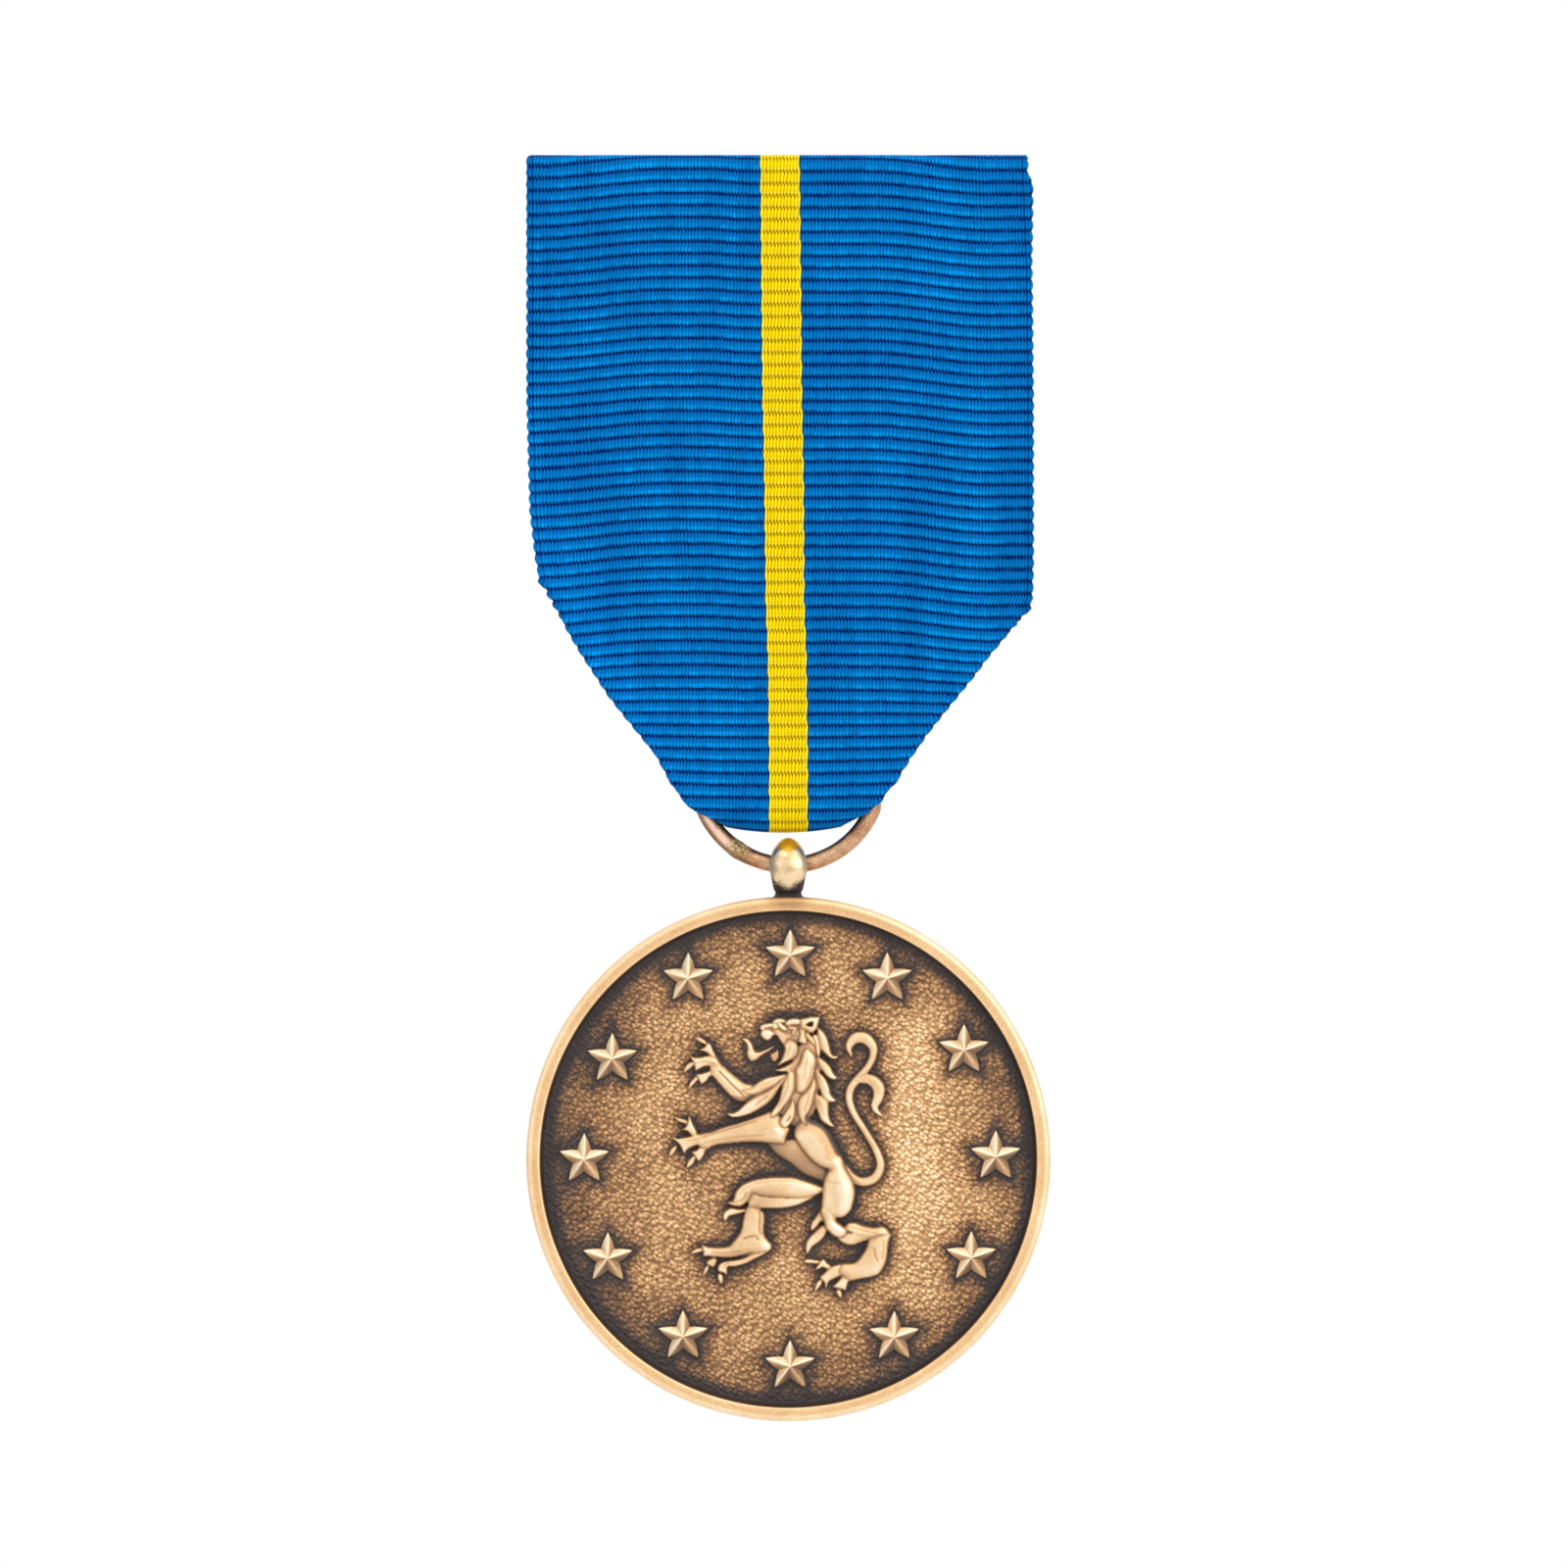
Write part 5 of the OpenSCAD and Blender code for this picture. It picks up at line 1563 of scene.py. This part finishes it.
    def relief(self) -> tuple[Array, Array, Array, Array]:
        """Heights over a grid: the tail, then each sheet's forms and creases.

        Returns:
            Places across, places up, the height above the field and the painted shade at each.
        """
        xs = np.arange(-9.2, 8.2, self.pitch)
        zs = np.arange(-10.9, 11.0, self.pitch)
        height = np.full((len(zs), len(xs)), self.GROUND)
        shade = np.zeros(height.shape)
        grid_x, grid_z = np.meshgrid(xs, zs)
        for run in self.TAIL:
            part = self.window(np.array(run)[:, :2], xs, zs, 0.5)
            deep = self.tail(run, grid_x[part], grid_z[part])
            form = (deep, self.tail_low, self.tail_high, 0.3)
            height[part], shade[part] = self.lay(height[part], shade[part], *form)
        sheets = [self.WHOLE, self.PAW_HIGH, self.LEG_FRONT, self.LEG_REAR]
        sheets += [self.PAW_LOW, self.MANE, self.HEAD]
        for sheet in sheets:
            for low, high, shoulder, rows in sheet.forms:
                line = sheet.place(rows, True)
                part = self.window(line, xs, zs, 0.25)
                deep = apart(line, grid_x[part], grid_z[part], True)
                edge = low if high < low else low * 0.82
                form = (deep, edge, high, shoulder)
                height[part], shade[part] = self.lay(height[part], shade[part], *form)
            for half, depth, rows in sheet.creases:
                line = sheet.place(rows, False)
                part = self.window(line, xs, zs, half)
                cut = np.clip(1 - (apart(line, grid_x[part], grid_z[part], False) / half) ** 2, 0, 1)
                cut = cut * (height[part] > 0.08)
                # A crease is cut by its depth and painted with shade by it; a negative depth raises it and
                # paints it lighter.
                height[part] -= depth * cut
                shade[part] = np.clip(shade[part] + 5.0 * depth * cut, -0.3, 1.0)
        return xs, zs, blur(height, 0.7), blur(shade, 0.6)

    def window(self, line: Array, xs: Array, zs: Array, margin: float) -> tuple[slice, slice]:
        """The part of the grid round a line.

        Args:
            line: Points across and up.
            xs, zs: The grid's places.
            margin: How far the part goes beyond the line.

        Returns:
            Its rows and its columns.
        """
        low, high = line.min(axis=0) - margin, line.max(axis=0) + margin
        columns = slice(*np.searchsorted(xs, [low[0], high[0]]))
        return slice(*np.searchsorted(zs, [low[1], high[1]])), columns

    def build(self, at: Layout, field_y: float) -> Surface:
        """The part of the grid that stands above the field, closed by walls and a flat foot.

        Each square of the grid that reaches above a little below the field is kept. Where its neighbour
        isn't, a wall goes down to the foot.

        Args:
            at: The shared places.
            field_y: Depth of the field's surface.

        Returns:
            The closed relief with its mark of rubbing and painted shade.
        """
        xs, zs, height, shade = self.relief()
        bulk = blur(np.maximum(height, 0), 7.0)
        # Parts higher than their surroundings are lighter, as rubbed heights; the forms' painted shade is
        # taken off, and next to the field the relief gets painted shade.
        wear = 0.745 + (height - bulk) * 0.95 + 0.12 * smooth(height, 0.3, 0.9)
        wear = np.clip(wear - shade, 0.0, 1.05) * (0.2 + 0.8 * smooth(height, -0.12, 0.0))
        shifts = (slice(None, -1), slice(1, None))
        corners = [(rows, columns) for rows in shifts for columns in shifts]
        kept = np.maximum.reduce([height[corner] for corner in corners]) > self.KEPT
        used = np.zeros(height.shape, dtype=bool)
        for corner in corners:
            used[corner] |= kept
        index = np.cumsum(used.ravel()).reshape(used.shape) - 1
        count = int(used.sum())
        top = grid_faces(index)[kept.ravel()]
        wide = np.pad(kept, 1)
        walls = []
        for di, dj, a, b in ((-1, 0, 0, 1), (0, 1, 1, 2), (1, 0, 2, 3), (0, -1, 3, 0)):
            open_side = kept & ~wide[1 + di : wide.shape[0] - 1 + di, 1 + dj : wide.shape[1] - 1 + dj]
            quads = grid_faces(index)[open_side.ravel()]
            first, second = quads[:, a], quads[:, b]
            walls.append(np.stack([second, first, first + count, second + count], axis=-1))
        grid_x, grid_z = np.meshgrid(xs, zs)
        x = at.hang_x + grid_x[used]
        z = at.medal_z + grid_z[used]
        points = np.concatenate([listed(x, field_y - height[used], z), listed(x, field_y + self.foot, z)])
        marks = {"wear": np.concatenate([wear[used], np.zeros(count)])}
        return Surface(points, [top, top[:, ::-1] + count] + walls, marks=marks)


@dataclass
class Medal:
    """The cast drop: disc with rim and field, twelve stars, the lion and the eyelet."""

    at: Layout
    rim_w: float = 1.10
    field_depth: float = 0.9
    back_depth: float = 0.3
    edge_round: float = 0.35
    star_r: float = 2.03
    star_h: float = 0.66
    eyelet_r: float = 2.15
    hole_r: float = 0.85
    eyelet_w: float = 2.74

    # Middles of the stars from the top one on, clockwise
    STARS = [
        [0.14, 14.79], [7.20, 13.12], [12.79, 7.90], [15.09, 0.15], [13.31, -7.17], [7.71, -12.97],
        [0.13, -15.09], [-7.65, -12.92], [-13.12, -7.25], [-14.84, -0.05], [-12.80, 7.26], [-7.28, 13.11],
    ]
    # Share of the way down the eyelet and share of its half width
    EYELET = [
        [0.00, 0.50], [0.02, 0.52], [0.076, 0.58], [0.151, 0.69], [0.212, 0.81], [0.323, 0.95],
        [0.433, 1.01], [0.57, 0.975], [0.71, 0.885], [0.847, 0.80], [0.984, 0.75], [1.12, 0.73],
    ]
    # Height from the eyelet's middle and radius of the neck
    NECK = [
        [-1.15, 0.88], [-1.45, 0.94], [-1.75, 0.95], [-1.95, 0.96], [-2.08, 1.02], [-2.2, 1.16],
        [-2.45, 1.26],
    ]
    # Patches of light and shade painted on the field: middle across and up, spread across and up, and change
    # of the mark
    CLOUDS = [
        [7.8, 0.5, 10.0, 70.0, 0.13], [-8.2, 3.0, 8.0, 50.0, 0.04], [-4.0, 4.8, 4.0, 4.0, -0.12],
        [-1.2, -0.4, 5.0, 5.0, -0.12], [-2.0, 6.9, 1.5, 1.5, -0.22],
    ]
    # Rows on the field and on the back, and steps round the disc, a star, the eyelet, its tube and its neck
    FIELD_ROWS = 84
    BACK_ROWS = 26
    DISC_STEPS = 420
    STAR_STEPS = 160
    BEAD_STEPS = 96
    TUBE_STEPS = 48
    NECK_STEPS = 48

    def __post_init__(self) -> None:
        """Works out where the field lies and starts the lion."""
        self.field_y = self.at.front_y + self.field_depth
        self.lion = Lion()

    def section(self) -> tuple[Array, Array]:
        """Half section of the disc from the back's middle round the rim to the front's middle.

        Returns:
            Points of radius and depth, and the mark of rubbing and painted shade at each.
        """
        r, e = self.at.medal_r, self.edge_round
        front, back = self.at.front_y, self.at.back_y
        lip = r - self.rim_w
        quarter = np.linspace(0, math.pi / 2, 7)
        slope = np.linspace(0, 1, 6)
        back_in = np.linspace(0.4, lip - self.back_depth, self.BACK_ROWS)
        rows = np.concatenate([
            listed(back_in, back - self.back_depth, 0.72),
            [[lip - 0.1, back - 0.06, 0.6], [lip + 0.06, back, 0.95]],
            listed(r - e + e * np.sin(quarter), back - e + e * np.cos(quarter), 0.94),
            listed(r - e + e * np.cos(quarter), front + e - e * np.sin(quarter), 0.94),
            listed([r - 0.45, r - 0.6, r - 0.75, lip + 0.18], front, [0.84, 0.82, 0.84, 0.90]),
            # Down the rim's inner slope the mark falls to painted shade at the field's edge.
            listed(
                lip + 0.14 - 0.28 * slope,
                front + 0.02 + (self.field_depth - 0.06) * slope**1.3,
                0.92 - 0.89 * smooth(slope, 0.0, 0.36),
            ),
            listed(np.linspace(lip - 0.2, 0.22, self.FIELD_ROWS), self.field_y, 0.0),
        ])
        return rows[:, :2], rows[:, 2]

    def halo(self, x: Array, z: Array) -> Array:
        """Tone of the field, with painted light and shade: painted shade next to the rim, round the stars
        and round the lion, painted light towards the right and painted shade towards the left, with soft
        clouds between.

        Args:
            x, z: Places from the disc's middle.

        Returns:
            The mark, from 0 in the darkest painted shade to about 0.8 in the open.
        """
        xs, zs, height, _ = self.lion.relief()
        # Painted shade round the lion, from its outline blurred near and wide.
        solid = (height > self.lion.RAISED).astype(float)
        near = blur(solid, 6.5)
        wide = blur(solid, 20.0)
        column = np.clip((x - xs[0]) / self.lion.pitch, 0, len(xs) - 1.001).astype(int)
        row = np.clip((z - zs[0]) / self.lion.pitch, 0, len(zs) - 1.001).astype(int)
        inside = (x > xs[0]) & (x < xs[-1]) & (z > zs[0]) & (z < zs[-1])
        lion_near, lion_wide = near[row, column] * inside, wide[row, column] * inside
        radius = np.hypot(x, z)
        # Painted shade in a ring next to the rim, darkest at its foot.
        rim = smooth(radius, 13.6, 17.3)
        lip = smooth(radius, 16.7, 17.75)
        # Painted shade round each star: broad, and dark right at its outline.
        middles = np.array(self.STARS)
        apart_x, apart_z = x[..., None] - middles[:, 0], z[..., None] - middles[:, 1]
        turn = np.arctan2(apart_x, apart_z)
        far = (np.hypot(apart_x, apart_z) - self.outline(turn)[0]).min(axis=-1)
        star = 0.95 * (1 - smooth(far, -0.3, 1.7)) + 0.80 * (1 - smooth(far, 0.0, 0.45))
        # A darker patch round a place near the top of the field.
        above = np.hypot(x * 1.1, (z - 12.0) * 0.8)
        # Slow unevenness, with painted light that grows towards the right, and the listed patches of painted
        # light and shade.
        cloud = ripple(x, z, 11.0, 21) * 0.05 + ripple(x, z, 4.5, 8) * 0.035 + x * 0.003
        for mid_x, mid_z, wide_x, wide_z, light in self.CLOUDS:
            cloud = cloud + light * np.exp(-((x - mid_x) ** 2) / wide_x - (z - mid_z) ** 2 / wide_z)
        # Darker towards the right edge, the left and the bottom; towards the left it is painted shade away
        # from the light.
        sides = 0.09 * smooth(x, 10.5, 13.5) + 0.10 * smooth(-x, 8.5, 14.0) + 0.08 * smooth(-z, 7.0, 12.5)
        wear = 0.705 + cloud - sides - 0.14 * (1 - smooth(above, 0.0, 3.2))
        wear = wear - 0.18 * rim - 0.46 * lip - 0.46 * star
        wear = wear - 0.62 * np.clip(lion_near * 2.0, 0, 1) - 0.30 * np.clip(lion_wide * 1.6, 0, 1)
        return np.clip(wear, 0.02, 0.9)

    def disc(self) -> Surface:
        """The section turned once round the disc's axis, with a soft unevenness on the field.

        Returns:
            The closed disc with its mark of rubbing and painted shade, and with the field marked as grained.
        """
        section, worn_and_shaded = self.section()
        turns = full_turn(self.DISC_STEPS)
        x = section[:, :1] * np.sin(turns)[None, :]
        z = section[:, :1] * np.cos(turns)[None, :]
        y = np.broadcast_to(section[:, 1:], x.shape).copy()
        on_field = np.zeros(x.shape, dtype=bool)
        on_field[-self.FIELD_ROWS :] = True
        y[on_field] += (0.03 * ripple(x, z, 3.1, 5) * smooth(17.5 - np.hypot(x, z), 0, 1.5))[on_field]
        wear = worn_and_shaded[:, None] + 0.03 * ripple(x, z, 5.0, 12)
        wear[on_field] = self.halo(x, z)[on_field]
        # Painted shade on the rim round the eyelet's neck.
        top = np.hypot(x, (z - self.at.medal_r) * 2.0)
        wear = wear - (0.18 * (1 - smooth(top, 0.8, 2.2)) + 0.06 * (1 - smooth(top, 2.0, 7.0))) * ~on_field
        wear = np.append(wear, [worn_and_shaded[0], float(wear[-1].mean())])
        grain = np.append(on_field, [0, 1]).astype(float)
        tips = [[0, section[0, 1], 0], [0, section[-1, 1], 0]]
        points = np.concatenate([listed(x, y, z), tips]) + [self.at.hang_x, 0, self.at.medal_z]
        return Surface(points, turned_faces(x), marks={"wear": wear, "grain": grain})

    def outline(self, turns: Array) -> tuple[Array, Array, Array]:
        """Outline of a star.

        Args:
            turns: Angle from the upper tip, clockwise.

        Returns:
            Its reach, the angle from the nearest ridge, and how far the facet looks up and left, at most 1,
            which sets its painted light.
        """
        sector, notch = math.pi / 5, 0.43
        lean = (turns + sector) % (2 * sector) - sector
        off = np.sqrt(lean**2 + 0.015**2) - 0.009
        off = sector - (np.sqrt((sector - off) ** 2 + 0.04**2) - 0.025)
        dent = notch * np.array([math.cos(sector), math.sin(sector)])
        side = dent - np.array([1.0, 0.0])
        reach = self.star_r * dent[1] / (np.cos(off) * side[1] - np.sin(off) * side[0])
        reach = reach * (1 + 0.09 * np.sin(math.pi * np.clip(off / sector, 0, 1)))
        facet = turns - lean + np.sign(lean) * 1.2
        return reach, off, np.cos(facet + 0.7)

    def stars(self) -> Surface:
        """Twelve upright stars.

        Round each middle the outline's reach is that of straight sides between tip and notch, rounded at
        both. The height falls from the middle to the edge by a share of the way to a power, which leaves
        ridges to the tips and valleys to the notches. Facets that look up and left get painted light, the
        others painted shade, and each star's foot gets painted shade.

        Returns:
            The closed stars with their mark of rubbing and painted light and shade.
        """
        edge, sunk = 0.12, 0.2
        turns = full_turn(self.STAR_STEPS)
        reach, off, facing = self.outline(turns)
        shares = np.array([0.08, 0.2, 0.35, 0.5, 0.65, 0.8, 0.92, 1.0, 1.02])
        height = edge + (self.star_h - edge) * (1 - np.minimum(shares, 1.0) ** 1.25)
        height[-1] = -sunk
        x = shares[:, None] * (reach * np.sin(turns))[None, :]
        z = shares[:, None] * (reach * np.cos(turns))[None, :]
        y = self.field_y - height[:, None]
        tips = [[0, self.field_y - self.star_h, 0], [0, self.field_y + sunk, 0]]
        star = np.concatenate([listed(x, y, z), tips])
        ridge = 1 - smooth(off, 0.0, 0.3)
        # Ridges are lighter; the facing paints light on facets that look up and left and shade on the
        # others.
        wear = 0.64 + 0.28 * ridge[None, :] + 0.30 * facing[None, :] + 0.08 * (1 - shares[:, None])
        # Painted shade at each star's foot.
        wear = np.append(wear - 0.4 * smooth(shares, 0.95, 1.02)[:, None], [0.98, 0.0])
        spots = np.array(self.STARS)
        middles = np.insert(spots + [self.at.hang_x, self.at.medal_z], 1, 0.0, axis=1)
        points = (star[None] + middles[:, None]).reshape(-1, 3)
        shifts = np.arange(len(spots))[:, None, None] * len(star)
        every = [(group[None] + shifts).reshape(-1, group.shape[1]) for group in turned_faces(x)]
        return Surface(points, every, marks={"wear": np.tile(wear, len(spots))})

    def bead(self) -> Surface:
        """The eyelet itself: an oval turned once round the wire's axis, as wide as the front outline.

        Returns:
            The closed form with its mark of painted shade towards the hole, round its own middle.
        """
        tube = (self.eyelet_r - self.hole_r) / 2
        turns, oval = full_turn(self.BEAD_STEPS), full_turn(self.TUBE_STEPS)
        reach = self.eyelet_r - tube + tube * np.cos(oval)[None, :]
        z = reach * np.cos(turns)[:, None]
        y = -reach * np.sin(turns)[:, None]
        share = (self.eyelet_r - z) / (2 * self.eyelet_r)
        x = self.eyelet_w / 2 * table(share, self.EYELET, 1) * np.sin(oval)[None, :]
        # The mark falls towards the hole: painted shade inside it.
        worn_and_shaded = 0.1 + 0.9 * smooth(reach, self.hole_r, self.eyelet_r - tube * 0.9)
        marks = {"wear": np.broadcast_to(worn_and_shaded, x.shape).ravel()}
        return Surface(listed(x, y, z), [grid_faces(numbered(x, along=True))], marks=marks)

    def neck(self) -> Surface:
        """The neck: a circle carried down the middle, wide where it meets the disc.

        Returns:
            The closed form with its wear, round the eyelet's middle.
        """
        rows = np.array(self.NECK)
        turns = full_turn(self.NECK_STEPS)
        x = rows[:, 1:] * np.sin(turns)[None, :]
        y = -rows[:, 1:] * np.cos(turns)[None, :]
        tips = [[0, 0, rows[0, 0]], [0, 0, rows[-1, 0]]]
        points = np.concatenate([listed(x, y, rows[:, :1]), tips])
        return Surface(points, turned_faces(x), marks={"wear": np.append(np.ones(x.size), [0.1, 0.1])})

    def eyelet(self) -> Surface:
        """The egg-shaped eyelet with its neck, both closed forms in one.

        Returns:
            The surface, where it stands on the disc.
        """
        bead, neck = self.bead(), self.neck()
        middle_z = self.at.medal_z + self.at.medal_r + self.eyelet_r
        points = np.concatenate([bead.points, neck.points]) + [self.at.hang_x, self.at.loop_y, middle_z]
        neck_faces = [group + len(bead.points) for group in outward(neck.points, neck.faces)]
        wear = np.concatenate([bead.marks["wear"], neck.marks["wear"]])
        return Surface(points, outward(bead.points, bead.faces) + neck_faces, marks={"wear": wear})

    def make(self) -> None:
        """Builds the four forms of the drop and dresses them."""
        rubbed = CastBronze("bronze_relief", roughness=0.40, metal=0.55, mottle=0.42, pale=0.12)
        middle = (self.at.hang_x, self.at.medal_z + self.at.medal_r + self.eyelet_r)
        forms = [
            (self.disc(), "medal_disc", CastBronze("bronze_field", pebbles=1.0, roughness=0.42)),
            (self.stars(), "medal_stars", rubbed),
            (self.lion.build(self.at, self.field_y), "medal_lion", rubbed),
            (self.eyelet(), "medal_eyelet", EyeletMetal(middle)),
        ]
        made: dict[Any, bpy.types.Material] = {}
        for surface, name, finish in forms:
            piece = surface.piece(name)
            if finish not in made:
                made[finish] = finish.material()
            piece.data.materials.append(made[finish])
            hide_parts("medal")
            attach(piece, Body.DROP.value)


@dataclass
class BroochPin:
    """The hidden fastening behind the ribbon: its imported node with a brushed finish."""

    node: str = "brooch_pin"

    def dress(self) -> None:
        """Gives the node its finish."""
        piece = frame["nodes"][self.node]
        material = SatinBrass().material()
        if not piece.material_slots:
            piece.data.materials.append(material)
        for place in piece.material_slots:
            place.material = material


@dataclass
class Studio:
    """Camera, lights, surroundings and floor."""

    distance: float = 0.6
    view_width: float = 0.11388
    centre: tuple[float, float] = (0.000285, -0.04278)
    front: float = -0.006
    sensor: float = 36.0
    floor_z: float = -0.15

    def camera(self) -> None:
        """A long lens at the medal's middle height, level, as in the photograph."""
        data = bpy.data.cameras.new("camera")
        data.sensor_width = self.sensor
        data.lens = self.sensor * self.distance / self.view_width
        data.clip_start = 0.01
        camera = bpy.data.objects.new("camera", data)
        camera.location = (self.centre[0], self.front - self.distance, self.centre[1])
        camera.rotation_euler = (math.pi / 2, 0, 0)
        bpy.context.scene.collection.objects.link(camera)
        bpy.context.scene.camera = camera

    def light(self, name: str, place: tuple[float, float, float], size: float, power: float) -> None:
        """A square soft light that faces the medal.

        Args:
            name: Name of the light.
            place: Where it stands, in metres.
            size: Length of its sides.
            power: Its power in watts.
        """
        data = bpy.data.lights.new(name, "AREA")
        data.size = size
        data.energy = power
        lamp = bpy.data.objects.new(name, data)
        lamp.location = place
        aim = Vector((self.centre[0], 0.0, self.centre[1])) - Vector(place)
        lamp.rotation_euler = aim.to_track_quat("-Z", "Y").to_euler()
        bpy.context.scene.collection.objects.link(lamp)

    def surroundings(self) -> None:
        """White behind the medal and softer in front of it, brighter above than below."""
        world = bpy.data.worlds.new("studio")
        bpy.context.scene.world = world
        world.use_nodes = True
        shader = Shader(world.node_tree)
        x, y, z = shader.split(shader.node("ShaderNodeTexCoord", {}, out="Generated"))
        behind = y.step(-0.1, 0.75)
        above = (z + x * 0.35).step(-0.7, 0.8)
        strength = behind * 1.0 + (1 - behind) * (0.50 + above * 0.45)
        sky = shader.node("ShaderNodeBackground", {}, (1.0, 1.0, 1.0, 1.0), strength)
        shader.node("ShaderNodeOutputWorld", {}, Surface=sky)

    def floor(self) -> None:
        """A wide flat sheet below the medal, two millimetres thick."""
        span = np.linspace(-400, 400, 9)
        grid_x, grid_y = np.meshgrid(span, span)
        top = listed(grid_x, grid_y, self.floor_z / MM)
        piece = Surface(np.concatenate([top, top - [0, 0, 2.0]]), slab_faces(grid_x)).piece("floor")
        piece.data.materials.append(PalePaint().material())

    def make(self) -> None:
        """Sets up the whole studio."""
        self.camera()
        self.surroundings()
        self.light("key_right", (0.40, -0.60, 0.22), 0.55, 1.9)
        self.light("fill_left", (-0.50, -0.55, 0.06), 0.6, 0.6)
        self.light("top_soft", (0.0, -0.30, 0.55), 0.6, 0.9)
        self.floor()
        view = bpy.context.scene.view_settings
        view.view_transform = "Standard"
        view.look = "None"
        view.exposure = 0.0
        view.gamma = 1.0


def main() -> None:
    """Builds the studio and every piece."""
    logging.basicConfig(level=logging.INFO, format="%(name)s: %(message)s")
    Studio().make()
    at = Layout.read()
    places = (at.hang_x, at.loop_y, at.wire_z, at.medal_z)
    LOG.info("hangs at x %.3f, y %.3f, wire at z %.3f, disc at z %.3f", *places)
    Ribbon(at).make()
    Ring(at).make()
    Medal(at).make()
    BroochPin().dress()


if __name__ == "__main__":
    main()
